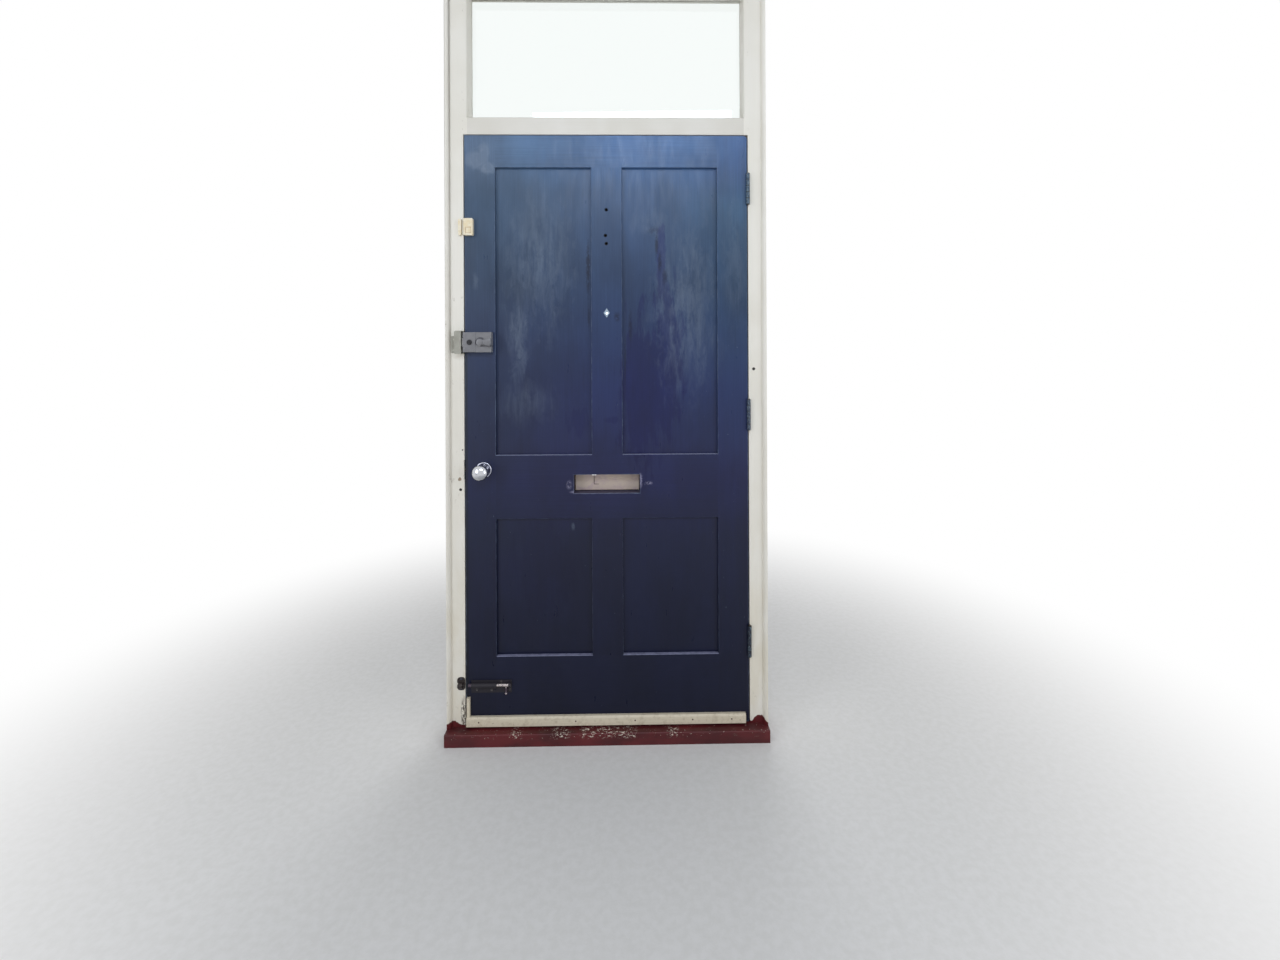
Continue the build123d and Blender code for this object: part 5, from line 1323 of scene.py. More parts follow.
# Carried-over solids
class Softening(Grower):
    """Smooth shading for a solid's loose faces, up to a crease."""

    def __init__(self) -> None:
        """Builds the tree."""
        super().__init__("smooth_up_to_a_crease", {"Crease": "Float"})
        weld = self.add("GeometryNodeMergeByDistance", {"Geometry": self.given["Geometry"], "Distance": 1e-6})
        smooth_all = self.add("GeometryNodeSetShadeSmooth", {"Geometry": weld})
        angle = self.add("GeometryNodeInputMeshEdgeAngle", output="Unsigned Angle")
        feeds = {"A": angle, "B": self.given["Crease"]}
        wide = self.add("FunctionNodeCompare", feeds, operation="GREATER_THAN")
        feeds = {"Geometry": smooth_all, "Selection": wide, "Shade Smooth": False}
        creased = self.add("GeometryNodeSetShadeSmooth", feeds, domain="EDGE")
        self.node("NodeGroupOutput", {"Geometry": creased})


SOFTENING = Softening()


def dress(material: Material, *nodes: str, crease: float = CREASE) -> None:
    """Gives carried-over solids their finish and smooth shading.

    Args:
        material: The finish.
        nodes: The solids' names.
        crease: The angle in degrees from which an edge stays sharp.
    """
    for node in nodes:
        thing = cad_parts[node]
        for slot in thing.material_slots:
            slot.material = material
        SOFTENING.put_on(thing, {"Crease": math.radians(crease)})
        log.info("dressed %s in %s", node, material.name)


def stands_for(piece: Thing, body: str, finish_slot: str, *nodes: str) -> None:
    """Lets a fine piece ride on a body in the place of plain solids.

    Args:
        piece: The piece.
        body: The body that it rides on.
        finish_slot: Not used.
        nodes: The solids that it stands for.
    """
    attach(piece, body)
    if nodes:
        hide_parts(*nodes)
    log.info("made %s on %s", piece.name, body)


# Repeated fixings
@dataclass(frozen=True)
class Fixing:
    """Sizes of one kind of screw or nail, in metres."""

    head_radius: float
    head_depth: float
    shank_radius: float
    tip_radius: float
    length: float
    slot_width: float = 0.0
    slot_depth: float = 0.0


def label(name: str) -> str:
    """Turns a field's name into the name of a tree's input."""
    return name.replace("_", " ").title()


class FixingTree(Grower):
    """A Geometry Nodes tree that sets a screw or a nail at each point, turned along the point's way."""

    def __init__(self, name: str, slotted: bool) -> None:
        """Builds the tree.

        Args:
            name: The tree's name.
            slotted: True for countersunk heads with a slot, False for low domed heads.
        """
        sizes = {label(size.name): "Float" for size in fields(Fixing)}
        super().__init__(name, {**sizes, "Seed": "Int", "Finish": "Material"})
        head = self.slotted_head() if slotted else self.domed_head()
        self.end(self.placed(self.joined(head, self.shank())))

    def vector(self, x: Value, y: Value, z: Value) -> Socket:
        """Joins three numbers into a vector."""
        return self.add("ShaderNodeCombineXYZ", {0: x, 1: y, 2: z})

    def cone(self, near: str, far: str, depth: str) -> Socket:
        """A cone's trunk that stands on the origin along Z.

        Args:
            near: The name of its radius at the origin.
            far: The name of its other radius.
            depth: The name of its height.

        Returns:
            The trunk's socket.
        """
        sizes = {"Radius Bottom": near, "Radius Top": far, "Depth": depth}
        feeds = {port: self.given[size] for port, size in sizes.items()}
        return self.add("GeometryNodeMeshCone", {"Vertices": 24, **feeds})

    def slotted_head(self) -> Socket:
        """A countersunk head, its flat at Z 0, with a slot across it.

        Returns:
            The head's mesh.
        """
        cone = self.cone("Head Radius", "Shank Radius", "Head Depth")
        over = self.all_of(self.given["Head Radius"], 2.4)
        size = self.vector(over, self.given["Slot Width"], self.all_of(self.given["Slot Depth"], 2.0))
        cutter = self.add("GeometryNodeMeshCube", {"Size": size})
        return self.add("GeometryNodeMeshBoolean", {"Mesh 1": cone, "Mesh 2": cutter}, operation="DIFFERENCE")

    def domed_head(self) -> Socket:
        """A low domed head over Z 0.

        Returns:
            The head's mesh.
        """
        ball = self.add("GeometryNodeMeshUVSphere", {"Segments": 20, "Rings": 10, "Radius": 1.0})
        radius = self.given["Head Radius"]
        scale = self.vector(radius, radius, self.given["Head Depth"])
        return self.add("GeometryNodeTransform", {"Geometry": ball, "Scale": scale})

    def shank(self) -> Socket:
        """The tapered shank below the head.

        Returns:
            The shank's socket.
        """
        cone = self.cone("Shank Radius", "Tip Radius", "Length")
        lift = self.vector(0.0, 0.0, self.given["Head Depth"])
        return self.add("GeometryNodeTransform", {"Geometry": cone, "Translation": lift})

    def placed(self, fixing: Socket) -> Socket:
        """Sets the fixing at each point, with a chance turn about its own axis.

        Args:
            fixing: The mesh of one fixing.

        Returns:
            The instances.
        """
        way = self.node("GeometryNodeInputNamedAttribute", {"Name": "way"}, data_type="FLOAT_VECTOR")
        feeds = {"Vector": way.outputs["Attribute"]}
        aimed = self.add("FunctionNodeAlignRotationToVector", feeds, axis="Z")
        chance = self.add("FunctionNodeRandomValue", {"Seed": self.given["Seed"]}, 1, data_type="FLOAT")
        about = {"Axis": (0.0, 0.0, 1.0), "Angle": self.all_of(chance, FULL_TURN)}
        spin = self.add("FunctionNodeAxisAngleToRotation", about)
        feeds = {"Rotation": aimed, "Rotate By": spin}
        turned = self.add("FunctionNodeRotateRotation", feeds, rotation_space="LOCAL")
        points = self.add("GeometryNodeMeshToPoints", {"Mesh": self.given["Geometry"]})
        feeds = {"Points": points, "Instance": fixing, "Rotation": turned}
        return self.add("GeometryNodeInstanceOnPoints", feeds)


def grown(name: str, seeds: bpy.types.Mesh, grower: Grower, inputs: dict[str, object]) -> Thing:
    """Grows a tree's geometry from a seed mesh and keeps the result as a plain mesh.

    Args:
        name: The piece's name.
        seeds: The mesh that the tree starts from.
        grower: The Geometry Nodes tree.
        inputs: What each of the tree's inputs takes, by its name.

    Returns:
        The piece.
    """
    carrier = piece_of(name + "_seeds", seeds)
    grower.put_on(carrier, inputs)
    carrier.update_tag()
    ready = carrier.evaluated_get(bpy.context.evaluated_depsgraph_get())
    mesh = bpy.data.meshes.new_from_object(ready)
    mesh.name = name
    bpy.data.objects.remove(carrier)
    smooth(mesh)
    return piece_of(name, mesh)


def spread(corners: Sequence[Vector], middle: Vector, axis: int, at: float) -> float:
    """How wide a solid is near one end.

    Args:
        corners: Its corners.
        middle: Its middle.
        axis: The axis that it lies along.
        at: Where that end is.

    Returns:
        The greatest distance of that end's corners from the axis.
    """
    others = [number for number in range(3) if number != axis]
    near = [corner - middle for corner in corners if abs(corner[axis] - at) < 1e-4]
    return max(math.hypot(*(corner[other] for other in others)) for corner in near)


@dataclass
class FixingSet:
    """All the screws or nails of one body, found from their plain solids.

    Attributes:
        name: The piece's name.
        node: The node that it stands for.
        body: The body that it rides on.
        fixing: The sizes of one of them.
        material: Their finish.
        seed: Picks their chance turns.
        slotted: Whether their heads have slots.
        proud: How far the head stands proud of the wood.
        slot: A material slot's name, handed on to stands_for.
    """

    name: str
    node: str
    body: str
    fixing: Fixing
    material: Material
    seed: int
    slotted: bool = True
    proud: float = 0.0
    slot: str = "dark_steel"

    def places(self) -> tuple[list[Vector], list[Vector]]:
        """Finds each fixing's head and the way it points.

        Returns:
            The heads' centres, and the ways as unit vectors.
        """
        heads, ways = [], []
        for corners in islands(self.node):
            low, high = (Vector(tuple(map(end, zip(*corners)))) for end in (min, max))
            span = list(high - low)
            axis = span.index(max(span))
            middle = (low + high) / 2
            head_low = spread(corners, middle, axis, low[axis]) > spread(corners, middle, axis, high[axis])
            way = Vector((0.0, 0.0, 0.0))
            way[axis] = 1.0 if head_low else -1.0
            head = middle.copy()
            head[axis] = (low if head_low else high)[axis] + way[axis] * self.proud
            heads.append(head)
            ways.append(way)
        return heads, ways

    def build(self) -> None:
        """Makes the set as one piece."""
        heads, ways = self.places()
        seeds = bpy.data.meshes.new(self.name + "_seeds")
        seeds.from_pydata([tuple(head) for head in heads], [], [])
        attribute = seeds.attributes.new("way", "FLOAT_VECTOR", "POINT")
        attribute.data.foreach_set("vector", [part for way in ways for part in way])
        inputs = {label(name): size for name, size in asdict(self.fixing).items()}
        inputs.update({"Seed": self.seed, "Finish": self.material})
        tree = FixingTree(self.name + "_tree", self.slotted)
        stands_for(grown(self.name, seeds, tree, inputs), self.body, self.slot, self.node)


# Sub-assemblies
@dataclass
class Joinery:
    """The framed leaf: stiles, rails, muntins and panels, all in brushed navy."""

    upright: tuple[str, ...] = ("stile_lock_side", "stile_hinge_side", "upper_muntin", "lower_muntin")
    level: tuple[str, ...] = ("top_rail", "lock_rail", "bottom_rail")
    upper: tuple[str, ...] = ("panel_upper_left", "panel_upper_right")
    lower: tuple[str, ...] = ("panel_lower_left", "panel_lower_right")

    def build(self) -> None:
        """Dresses each member along its own grain."""
        dress(DoorPaint("navy_upright", Brush.UPRIGHT, seed=1.0, haze=0.4).make(), *self.upright)
        dress(DoorPaint("navy_level", Brush.LEVEL, seed=2.0, haze=0.3).make(), *self.level)
        dress(DoorPaint("navy_panels", Brush.UPRIGHT, seed=3.0, haze=0.42).make(), *self.upper, *self.lower)


@dataclass
class Surround:
    """The frame: jambs, transom, head, beads and the red sill."""

    upright: tuple[str, ...] = ("jamb_lock_side", "jamb_hinge_side")
    level: tuple[str, ...] = ("transom", "head")
    beads: tuple[str, ...] = ("cover_beads", "glazing_beads")

    def build(self) -> None:
        """Dresses the frame and its sill."""
        dress(FramePaint("frame_upright", Brush.UPRIGHT, seed=1.0).make(), *self.upright)
        # painted shade: the transom and head take a darker copy of the frame's paint
        transom = FramePaint(
            "frame_level_shaded", Brush.LEVEL, seed=2.0, clean=seen(222, 218, 209), shade=seen(211, 206, 194)
        )
        dress(transom.make(), *self.level)
        dress(FramePaint("frame_beads", Brush.UPRIGHT, seed=3.0).make(), *self.beads)
        dress(SillPaint().make(), "sill")
        dress(PaneGlass().make(), "light_glass")


@dataclass
class HingeSet:
    """Three butt hinges, painted over with the leaf and worn back to the metal at their knuckles."""

    places: tuple[str, ...] = ("top", "middle", "bottom")
    knuckles: int = 5

    def build(self) -> None:
        """Dresses leaves and pins."""
        for place in self.places:
            low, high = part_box(f"hinge_{place}_door_leaf")
            paint = HingePaint(f"hinge_{place}_painted", low.z, (high.z - low.z) / self.knuckles)
            dress(paint.make(), f"hinge_{place}_door_leaf", f"hinge_{place}_frame_leaf")
        steel = Metal("hinge_pin_steel", seen(120, 116, 110), seen(62, 52, 46), cover=0.5, lump=0.004)
        dress(steel.make(), "hinge_pins")


@dataclass
class Nightlatch:
    """The rim nightlatch: grey cast case, turn lever, snib, bolt, cylinder and the painted keeper.

    Attributes:
        axis: X and Z of the lever.
        boss_radius: Radius of the lever's boss.
        boss_front: Y of its front.
        boss_back: Y where it meets the case.
        hub_radius: Radius of its hub in the case.
        bore: Radius of the hub's bore.
        hub_end: Y where the hub ends.
        reach: How far the paddle reaches from the axis.
        root: Half height of the paddle at the boss.
        tip: Half height of the paddle at its end.
        waist: How far its edges sink between the two.
        corner: How much its corners are cut off.
        paddle_thick: Thickness of the paddle.
        ease: Radius of the paddle's edges.
        proud: How far the boss stands proud of the paddle.
        button_thick: Thickness of the snib's button.
        rib: Half the width of a rib on it, and the size of its eased edges.
        rib_pitch: Distance between its ribs.
        stem_radius: Radius of its stem.
    """

    axis: Pair = (-0.408, 1.300)
    boss_radius: float = 0.011
    boss_front: float = -0.0843
    boss_back: float = -0.0723
    hub_radius: float = 0.006
    bore: float = 0.0045
    hub_end: float = -0.0565
    reach: float = 0.0355
    root: float = 0.0088
    tip: float = 0.0125
    waist: float = 0.0016
    corner: float = 0.0042
    paddle_thick: float = 0.0065
    ease: float = 0.0011
    proud: float = 0.0012
    button_thick: float = 0.004
    rib: float = 0.0007
    rib_pitch: float = 0.0026
    stem_radius: float = 0.0025

    def paddle(self) -> list[Pair]:
        """Draws the outline of the lever's waisted paddle.

        Returns:
            X and Z of its corners.
        """
        x, z = self.axis
        outline = []
        steps = 10
        for number in range(steps + 1):
            t = number / steps
            sunk = self.waist * math.sin(math.pi * min(t * 1.35, 1.0))
            height = self.root + (self.tip - self.root) * t**1.6 - sunk
            outline.append((x + (self.reach - self.corner) * t, z - height))
        outline.append((x + self.reach, z - self.tip + self.corner))
        return outline + [(across, 2 * z - up) for across, up in reversed(outline)]

    def lever(self, material: Material) -> Thing:
        """Makes the lever: a stepped round boss, its paddle, and the hub behind.

        Args:
            material: Its finish.

        Returns:
            The lever.
        """
        shape = bmesh.new()
        x, z = self.axis
        deep = self.boss_back - self.boss_front
        radius = self.boss_radius
        step = radius * 0.14
        boss = [(0.0, deep), (radius - step, deep), (radius, deep - step), (radius, step)]
        boss += [(radius - step * 0.4, step * 0.3), (radius - step * 1.4, 0.0), (0.0, 0.0)]
        add_lathed(shape, boss, Vector((x, self.boss_front, z)), OUTWARD, 64)
        long = self.hub_end - self.boss_back
        hub = [(self.bore, 0.0), (self.hub_radius, 0.0), (self.hub_radius, long), (self.bore, long)]
        add_lathed(shape, hub, Vector((x, self.boss_back, z)), OUTWARD, 48)
        near = self.boss_front + self.proud
        add_slab(shape, self.paddle(), near, near + self.paddle_thick, self.ease)
        return finished("turn_lever", shape, material)

    def snib(self, material: Material) -> Thing:
        """Makes the snib's button, ribbed across for the thumb, on its stem.

        Args:
            material: Its finish.

        Returns:
            The button.
        """
        low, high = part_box("nightlatch_snib")
        centre = (low + high) / 2
        radius = (high.x - low.x) / 2
        thick, step = self.button_thick, self.rib
        button = [(0.0, thick), (radius - step, thick), (radius, thick - step), (radius, step * 1.6)]
        button += [(radius - step, 0.0), (radius * 0.72, 0.0), (radius * 0.66, step), (0.0, step)]
        shape = bmesh.new()
        add_lathed(shape, button, Vector((centre.x, low.y, centre.z)), OUTWARD, 64)
        for number in (-1, 0, 1):
            z = centre.z + number * self.rib_pitch
            left, right = centre.x - radius * 0.5, centre.x + radius * 0.5
            rib = [(left, z - step), (right, z - step), (right, z + step), (left, z + step)]
            add_slab(shape, rib, low.y, low.y + step * 1.5, 0.0002)
        long = high.y - low.y - thick
        stem = [(0.0, 0.0), (self.stem_radius, 0.0), (self.stem_radius, long), (0.0, long)]
        add_lathed(shape, stem, Vector((centre.x, low.y + thick, centre.z)), OUTWARD, 32)
        return finished("snib_button", shape, material)

    def build(self) -> None:
        """Makes the fine pieces and dresses the rest."""
        meeting = (self.axis, self.boss_radius, self.tip)
        case = LatchCasting("case_cast", *meeting, grimy=True).make()
        lever = LatchCasting("lever_cast", *meeting, grimy=False).make()
        dark = Metal(
            "snib_dark", seen(96, 96, 98), seen(38, 38, 42), cover=0.7, lump=0.004, smooth=0.3,
            dull=0.45, patina_metal=0.5, scratch=0.5,
        ).make()
        steel = Metal(
            "bolt_steel", seen(186, 188, 190), seen(132, 130, 126), cover=0.35, dull=0.36,
            patina_metal=0.8,
        ).make()
        plate = Metal(
            "plate_dark", seen(92, 92, 96), seen(44, 42, 44), cover=0.7, lump=0.008, smooth=0.35,
            dull=0.55, patina_metal=0.4, pit=0.0002,
        ).make()
        brass = Metal(
            "cylinder_brass", seen(206, 178, 112), seen(158, 130, 80), cover=0.4, lump=0.02, dull=0.36,
            patina_metal=0.9, pit=0.00004,
        ).make()
        cream = Overpaint(
            "keeper_cream", seen(160, 158, 147), seen(128, 124, 112), seen(104, 100, 92),
            grain=(0.02, 0.02, 0.02), worn=0.3,
        ).make()
        dress(case, "nightlatch_case")
        dress(plate, "nightlatch_plate")
        dress(steel, "nightlatch_bolt", "rim_cylinder_screws")
        dress(brass, "rim_cylinder", "cylinder_plug")
        dress(cream, "nightlatch_keeper")
        stands_for(self.lever(lever), "nightlatch_lever", "grey_metal", "nightlatch_lever")
        stands_for(self.snib(dark), "nightlatch_snib", "dark_steel", "nightlatch_snib")


@dataclass
class KnobSet:
    """The chrome knobs on their dished roses, with the mortice latch between them.

    Attributes:
        axis: X and Z of the spindle.
        waist: Radius of the knob's neck.
        bulge: Its largest radius.
        foot: Where the neck starts, from the face.
        neck_end: Where the flare starts.
        widest: Where it is widest.
        crown: Where it ends.
        rose_radius: Radius of the rose.
        rose_thick: Its thickness.
        rim: Width of its raised rim.
        dish: Depth of its dished band.
        collar: Width of the collar round the neck.
        play: Gap between collar and neck.
        ring: Depth of the ring in the neck.
        hollow: How far the dished band sinks below its edges.
    """

    axis: Pair = (-0.404, 0.882)
    waist: float = 0.009
    bulge: float = 0.025
    foot: float = 0.002
    neck_end: float = 0.014
    widest: float = 0.052
    crown: float = 0.068
    rose_radius: float = 0.026
    rose_thick: float = 0.008
    rim: float = 0.005
    dish: float = 0.003
    collar: float = 0.0025
    play: float = 0.00015
    ring: float = 0.0008
    hollow: float = 0.0012

    def knob(self) -> list[Pair]:
        """Draws a knob's profile: ringed neck, flared back, full edge and domed front.

        Returns:
            Radius and distance from the leaf's face of each corner.
        """
        ring = self.ring
        profile = [(0.0, self.foot), (self.waist, self.foot), (self.waist, self.neck_end - 3 * ring)]
        profile += [(self.waist + ring, self.neck_end - 2 * ring), (self.waist, self.neck_end - ring)]
        profile += curve_through((self.waist, self.neck_end), (self.bulge, self.widest), 90.0, 90.0, 26)
        profile += curve_through((self.bulge, self.widest), (0.0, self.crown), 90.0, 180.0, 22)[1:-1]
        return profile + [(0.0, self.crown)]

    def rose(self) -> list[Pair]:
        """Draws a rose's profile: rounded rim, dished band and collar.

        Returns:
            Radius and distance from the leaf's face of each corner.
        """
        bore = self.waist + self.play
        half_rim = self.rim / 2
        top = self.rose_thick
        inner = self.rose_radius - self.rim
        profile = [(bore, 0.0), (self.rose_radius, 0.0), (self.rose_radius, top - half_rim)]
        for number in range(1, 9):
            angle = math.pi * number / 9
            across = self.rose_radius - half_rim + half_rim * math.cos(angle)
            profile.append((across, top - half_rim + half_rim * math.sin(angle)))
        profile.append((inner, top - half_rim))
        floor = top - self.dish
        for number in range(1, 8):
            t = number / 8
            radius = inner + (bore + self.collar - inner) * t
            profile.append((radius, floor - self.hollow * math.sin(math.pi * t)))
        profile += [(bore + self.collar, floor), (bore + 0.0017, top - 0.0012), (bore + 0.0012, top - 0.001)]
        return profile + [(bore, top - 0.001)]

    def turned(
        self, name: str, profile: Sequence[Pair], face: float, side: float, material: Material
    ) -> Thing:
        """Turns a profile round the spindle's axis.

        Args:
            name: The piece's name.
            profile: Radius and distance from the leaf's face of each corner.
            face: Y of that face.
            side: -1 towards the room, 1 towards the outside.
            material: Its finish.

        Returns:
            The piece.
        """
        shape = bmesh.new()
        foot = Vector((self.axis[0], face, self.axis[1]))
        add_lathed(shape, profile, foot, side * OUTWARD)
        return finished(name, shape, material, 40.0)

    def build(self) -> None:
        """Makes knobs and roses and dresses the latch."""
        chrome = Metal(
            "chrome", seen(202, 204, 210), seen(150, 152, 158), cover=0.25, lump=0.01, smooth=0.08,
            dull=0.22, patina_metal=1.0, pit=0.00003, scratch=0.2,
        ).make()
        steel = Metal(
            "latch_steel", seen(176, 176, 174), seen(120, 114, 106), cover=0.4, smooth=0.24, dull=0.42,
            patina_metal=0.7,
        ).make()
        brass = Metal(
            "latch_brass", seen(196, 168, 110), seen(130, 104, 64), cover=0.45, lump=0.004, dull=0.4,
            patina_metal=0.8,
        ).make()
        dished = RoseChrome(self.axis, self.rose_radius, self.rim).make()
        for side, name, face in ((-1.0, "inner", ROOM_FACE), (1.0, "outer", LEAF_BACK_FACE)):
            knob = self.turned(f"door_knob_{name}", self.knob(), face, side, chrome)
            stands_for(knob, "knobs", "chrome", f"knob_{name}")
            rose = self.turned(f"knob_rose_{name}", self.rose(), face, side, dished)
            stands_for(rose, "leaf", "chrome", f"rose_{name}")
        dress(steel, "knob_spindle", "latch_case", "latch_strike")
        dress(brass, "latch_bolt")


class SpringTree(Grower):
    """A Geometry Nodes tree that winds a coil along X and adds the arm that its seed mesh draws."""

    def __init__(self) -> None:
        """Builds the tree."""
        sizes = dict.fromkeys(("Coil Radius", "Coil Length", "Turns", "Wire Radius"), "Float")
        super().__init__("coil_and_arm", {**sizes, "Coil Start": "Vector", "Finish": "Material"})
        given = self.given
        radii = {"Start Radius": given["Coil Radius"], "End Radius": given["Coil Radius"]}
        feeds = {"Resolution": 20, "Rotations": given["Turns"], "Height": given["Coil Length"], **radii}
        spiral = self.add("GeometryNodeCurveSpiral", feeds)
        feeds = {"Geometry": spiral, "Translation": given["Coil Start"], "Rotation": (0.0, math.pi / 2, 0.0)}
        coil = self.add("GeometryNodeTransform", feeds)
        arm = self.add("GeometryNodeMeshToCurve", {"Mesh": given["Geometry"]})
        feeds = {"Resolution": 12, "Radius": given["Wire Radius"]}
        ring = self.add("GeometryNodeCurvePrimitiveCircle", feeds)
        feeds = {"Curve": self.joined(coil, arm), "Profile Curve": ring, "Fill Caps": True}
        self.end(self.add("GeometryNodeCurveToMesh", feeds))


@dataclass
class LetterSlot:
    """The slot through the lock rail: flap, wire spring, studs with nuts and the plate outside.

    Attributes:
        pin_y: Y of the flap's pin.
        pin_z: Z of the pin.
        coil_radius: Radius of the spring's coil at the middle of its wire.
        coil_long: Length of the coil over its wire.
        wire_radius: Radius of the wire.
        turns: Turns of the coil.
        elbow: Radius of the bend between the arm and its foot.
        flap_face: Y of the flap's face that the arm lies on.
    """

    pin_y: float = -0.0073
    pin_z: float = 0.8575
    coil_radius: float = 0.0026
    coil_long: float = 0.014
    wire_radius: float = 0.0007
    turns: float = 8.5
    elbow: float = 0.003
    flap_face: float = -0.0068

    def spring(self, material: Material) -> Thing:
        """Makes the spring: the coil round the pin, the arm down the flap and its foot.

        Args:
            material: Its finish.

        Returns:
            The spring.
        """
        low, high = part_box("flap_spring")
        wire = self.wire_radius
        middle_x = low.x + self.coil_long / 2
        arm_y = self.flap_face - wire
        foot_z = low.z + wire
        path = [(middle_x, self.pin_y - self.coil_radius, self.pin_z)]
        steps = 8
        for number in range(steps + 1):
            angle = math.pi / 2 * number / steps
            across = self.elbow * (1 - math.cos(angle))
            up = self.elbow * (1 - math.sin(angle))
            path.append((middle_x + across, arm_y, foot_z + up))
        path.append((high.x - wire, arm_y, foot_z))
        seeds = bpy.data.meshes.new("spring_arm")
        seeds.from_pydata(path, [(number, number + 1) for number in range(len(path) - 1)], [])
        inputs = {
            "Coil Radius": self.coil_radius,
            "Coil Length": self.coil_long - 2 * wire,
            "Turns": self.turns,
            "Wire Radius": wire,
            "Coil Start": (low.x + wire, self.pin_y, self.pin_z),
            "Finish": material,
        }
        return grown("flap_wire_spring", seeds, SpringTree(), inputs)

    def build(self) -> None:
        """Makes the spring and dresses the rest."""
        flap = Overpaint(
            "flap_dull", seen(196, 180, 166), seen(168, 144, 160), seen(138, 124, 132),
            grain=(0.07, 0.05, 0.03), worn=0.4,
        ).make()
        brass = Metal(
            "letter_brass", seen(204, 176, 112), seen(166, 138, 84), cover=0.45, lump=0.05,
            smooth=0.22, dull=0.36, patina_metal=0.9, pit=0.00004, dark_within=True,
        ).make()
        steel = Metal(
            "spring_steel", seen(96, 88, 82), seen(58, 46, 40), cover=0.6, lump=0.003, smooth=0.4,
            dull=0.6, patina_metal=0.3,
        ).make()
        dress(flap, "letter_flap")
        dress(brass, "letter_plate")
        painted = Overpaint(
            "bolts_painted", seen(46, 48, 82), seen(30, 32, 60), seen(124, 126, 158),
            grain=(0.004, 0.004, 0.004), worn=0.7,
        ).make()
        dress(painted, "letter_bolts")
        stands_for(self.spring(steel), "letter_flap", "steel", "flap_spring")


@dataclass
class DoorViewer:
    """The door viewer: a bright diamond with a round eyepiece, and its lens outside."""

    def build(self) -> None:
        """Dresses the barrel and the lens."""
        bright = Metal(
            "viewer_bright", seen(168, 184, 196), seen(140, 156, 174), cover=0.5, smooth=0.3,
            dull=0.42, pit=0.00005,
        ).make()
        dress(bright, "viewer_barrel")
        dress(PaneGlass("viewer_glass", tint=(0.8, 0.84, 0.86, 1.0)).make(), "viewer_lens")


@dataclass
class BarrelBolt:
    """The old barrel bolt: its plate and keeper gone dark and rusty, its rod rubbed bright by the handle."""

    def build(self) -> None:
        """Dresses plate, rod and keeper."""
        dark = Metal(
            "bolt_dark", seen(78, 70, 82), seen(17, 13, 24), cover=0.86, smooth=0.38, dull=0.68,
            patina_metal=0.0, pit=0.0003, scratch=0.25,
        ).make()
        rusty = Metal(
            "keeper_rusty", seen(104, 100, 98), seen(44, 36, 34), cover=0.7, smooth=0.38, dull=0.6,
            patina_metal=0.2, pit=0.0003, scratch=0.5,
        ).make()
        dress(dark, "barrel_bolt_plate")
        dress(rusty, "bolt_keeper")
        dress(RubbedRod().make(), "barrel_bolt_rod")


@dataclass
class FootStrip:
    """The cream draught strip nailed along the foot, and the upright fillet beside it."""

    def build(self) -> None:
        """Dresses strip and fillet."""
        level = Overpaint(
            "cream_strip", seen(216, 206, 184), seen(168, 152, 126), seen(122, 98, 70),
            grain=(0.12, 0.0012, 0.0012), worn=0.45,
        ).make()
        upright = Overpaint(
            "cream_fillet", seen(214, 204, 182), seen(168, 152, 126), seen(122, 98, 70),
            grain=(0.0012, 0.0012, 0.06), worn=0.4,
        ).make()
        dress(level, "draught_strip")
        dress(upright, "corner_fillet")


@dataclass
class AlarmContact:
    """The two halves of the alarm contact, in yellowed plastic."""

    def build(self) -> None:
        """Dresses both halves."""
        plastic = MouldedPlastic().make()
        dress(plastic, "contact_box", "contact_magnet")


@dataclass
class Fixings:
    """Every screw and nail that shows, each set in its own metal."""

    screw: Fixing = Fixing(
        head_radius=0.004, head_depth=0.002, shank_radius=0.002, tip_radius=0.0007, length=0.0195,
        slot_width=0.0011, slot_depth=0.0009,
    )
    nail: Fixing = Fixing(
        head_radius=0.0026, head_depth=0.0008, shank_radius=0.0016, tip_radius=0.0005, length=0.024
    )
    nail_proud: float = 0.0008

    def build(self) -> None:
        """Makes the screws of the leaf, those of the frame and the strip's nails."""
        worn = Metal(
            "screw_worn", seen(128, 124, 118), seen(60, 56, 62), cover=0.6, lump=0.003, smooth=0.34,
            patina_metal=0.4, scratch=0.5,
        ).make()
        rusty = Metal(
            "nail_rusty", seen(120, 104, 90), seen(74, 50, 38), cover=0.7, lump=0.002, smooth=0.45,
            dull=0.65, patina_metal=0.2,
        ).make()
        painted = ScrewPaint().make()
        sets = (
            FixingSet("leaf_wood_screws", "leaf_screws", "leaf", self.screw, worn, 3),
            FixingSet("frame_wood_screws", "frame_screws", "frame", self.screw, painted, 5),
            FixingSet("strip_wire_nails", "strip_nails", "leaf", self.nail, rusty, 7, False, self.nail_proud),
        )
        for one in sets:
            one.build()


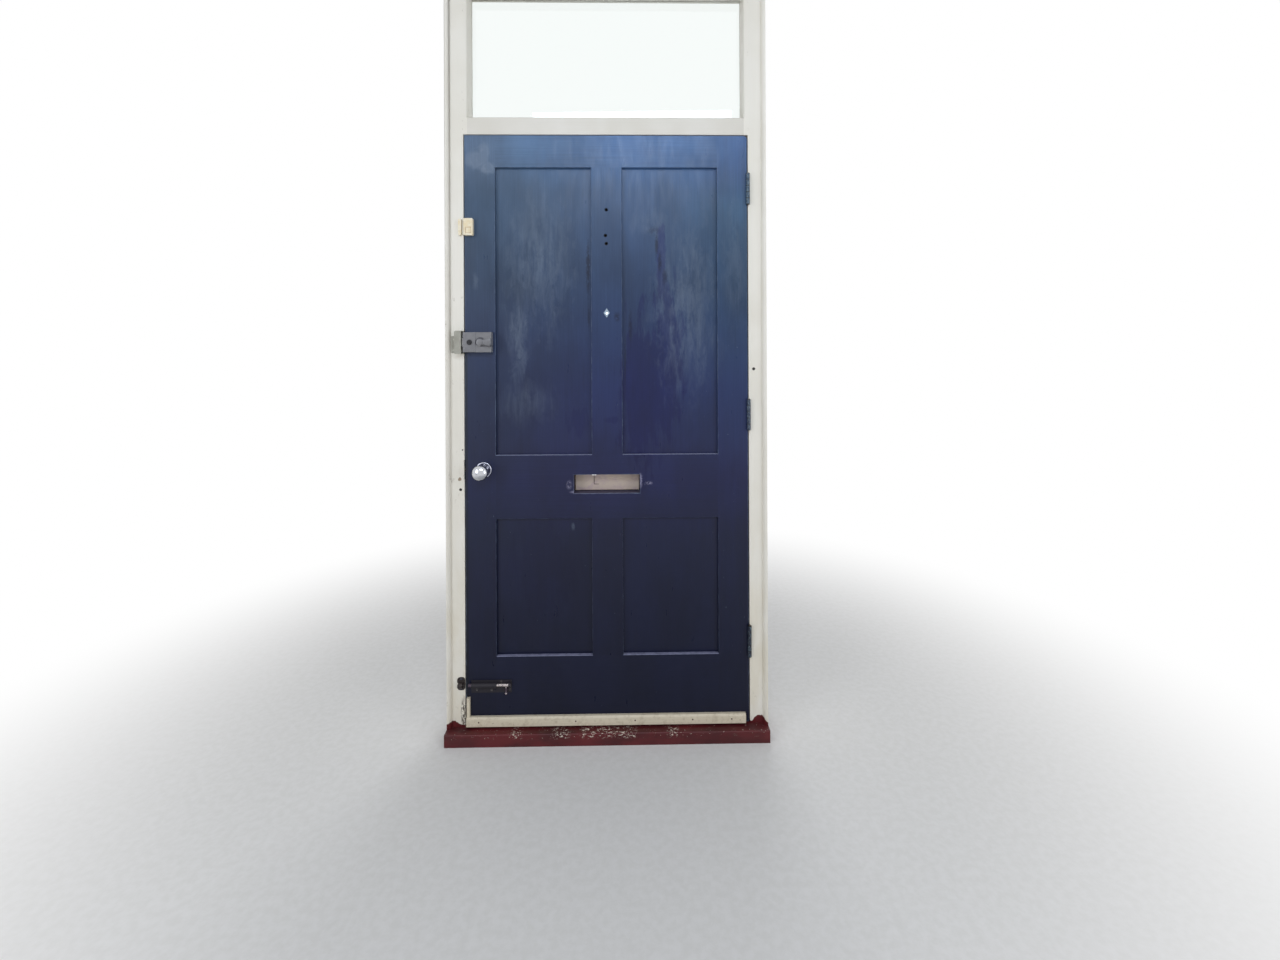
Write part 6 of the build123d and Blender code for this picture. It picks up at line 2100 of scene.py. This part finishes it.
# Light, floor and camera
@dataclass
class Studio:
    """A pale floor, a white surround, soft lamps and the camera.

    Attributes:
        eye: Where the camera stands.
        turn: Its turn to the right of straight ahead, in degrees.
        roll: Its roll, in degrees.
        lens: Focal length for a 36 mm wide sensor.
        drop: How far the picture is shifted down, as a share of its width.
        ambient: Strength of the surround's light on the object.
        floor_near: Distance from the middle of the door at which the floor starts to melt into the surround.
        floor_far: Distance at which it has.
        floor_half: Half the floor's width.
    """

    eye: Point = (0.0777, -1.9220, 1.2826)
    turn: float = 0.961
    roll: float = 0.235
    lens: float = 16.0
    drop: float = 133.04 / 1280.0
    ambient: float = 0.42
    floor_near: float = 0.9
    floor_far: float = 2.4
    floor_half: float = 14.0

    def floor(self) -> None:
        """Lays a wide pale floor that melts into the white surround away from the door."""
        board = Board("floor_pale")
        grain = board.noise(0.02, 4.0, 0.6)
        colour = board.mix(board.fade(grain, 0.3, 0.7), seen(226, 225, 222), seen(232, 231, 229))
        material = board.coat(colour, 0.75, board.bump(grain, 0.0004, 0.3), gloss=0.2)
        far = board.fade(board.away_on_floor(), self.floor_near, self.floor_far)
        share = board.all_of(far, board.background_rays())
        output = board.tree.nodes["Material Output"].inputs["Surface"]
        feeds = {0: share, 1: output.links[0].from_socket, 2: board.add("ShaderNodeEmission")}
        board.tree.links.new(board.add("ShaderNodeMixShader", feeds), output)
        shape = bmesh.new()
        for x, y in ((-1, -1), (1, -1), (1, 1), (-1, 1)):
            shape.verts.new((x * self.floor_half, y * self.floor_half, 0.0))
        shape.faces.new(shape.verts)
        finished("studio_floor", shape, material)

    def surround(self) -> None:
        """Sets a soft even surround that cameras, metal and glass see as white."""
        world = bpy.data.worlds.new("surround")
        bpy.context.scene.world = world
        world.use_nodes = True
        tree = Wiring(world.node_tree)
        feeds = {"Value": tree.background_rays(), "To Min": self.ambient, "To Max": 1.0}
        strength = tree.add("ShaderNodeMapRange", feeds)
        light = tree.add("ShaderNodeBackground", {"Color": WHITE, "Strength": strength})
        tree.node("ShaderNodeOutputWorld", {"Surface": light})

    def lamp(self, name: str, place: Point, aim: Point, size: Pair, power: float, tint: Colour) -> None:
        """Hangs one soft rectangular lamp.

        Args:
            name: Its name.
            place: Where it hangs.
            aim: What it faces.
            size: Its width and height.
            power: Its power in watts.
            tint: Its colour.
        """
        light = bpy.data.lights.new(name, "AREA")
        light.shape = "RECTANGLE"
        light.size, light.size_y = size
        light.energy = power
        light.color = tint[:3]
        lamp = bpy.data.objects.new(name, light)
        lamp.location = place
        lamp.rotation_euler = (Vector(aim) - Vector(place)).to_track_quat("-Z", "Y").to_euler()
        bpy.context.scene.collection.objects.link(lamp)

    def camera(self) -> None:
        """Sets up the camera."""
        data = bpy.data.cameras.new("camera")
        data.sensor_width = 36.0
        data.lens = self.lens
        data.shift_y = -self.drop
        data.clip_start = 0.05
        camera = bpy.data.objects.new("camera", data)
        place = Matrix.Translation(self.eye)
        for degrees, axis in ((-self.turn, "Z"), (90.0, "X"), (-self.roll, "Z")):
            place = place @ Matrix.Rotation(math.radians(degrees), 4, axis)
        camera.matrix_world = place
        bpy.context.scene.collection.objects.link(camera)
        bpy.context.scene.camera = camera

    def build(self) -> None:
        """Sets the whole studio."""
        bpy.context.scene.view_settings.view_transform = "Standard"
        self.surround()
        self.floor()
        daylight = seen(246, 249, 255)
        skylight = seen(228, 240, 255)
        self.lamp("high_front", (0.1, -2.5, 2.75), (0.0, 0.0, 1.35), (1.5, 0.7), 23.0, skylight)
        self.lamp("left_front", (-2.2, -2.4, 1.7), (0.0, 0.0, 1.0), (1.2, 1.6), 23.0, daylight)
        self.lamp("right_front", (2.4, -2.2, 1.3), (0.0, 0.0, 1.0), (1.2, 1.6), 18.0, daylight)
        self.lamp("behind", (0.6, 3.0, 2.0), (0.0, 0.0, 1.3), (1.8, 1.8), 34.0, daylight)
        self.camera()


def main() -> None:
    """Builds and dresses every sub-assembly, then the studio."""
    logging.basicConfig(level=logging.INFO, format="%(name)s: %(message)s")
    sub_assemblies = (
        Studio(),
        Joinery(),
        Surround(),
        HingeSet(),
        Nightlatch(),
        KnobSet(),
        LetterSlot(),
        DoorViewer(),
        BarrelBolt(),
        FootStrip(),
        AlarmContact(),
        Fixings(),
    )
    for part in sub_assemblies:
        part.build()
        log.info("finished %s", type(part).__name__)


if __name__ == "__main__":
    main()
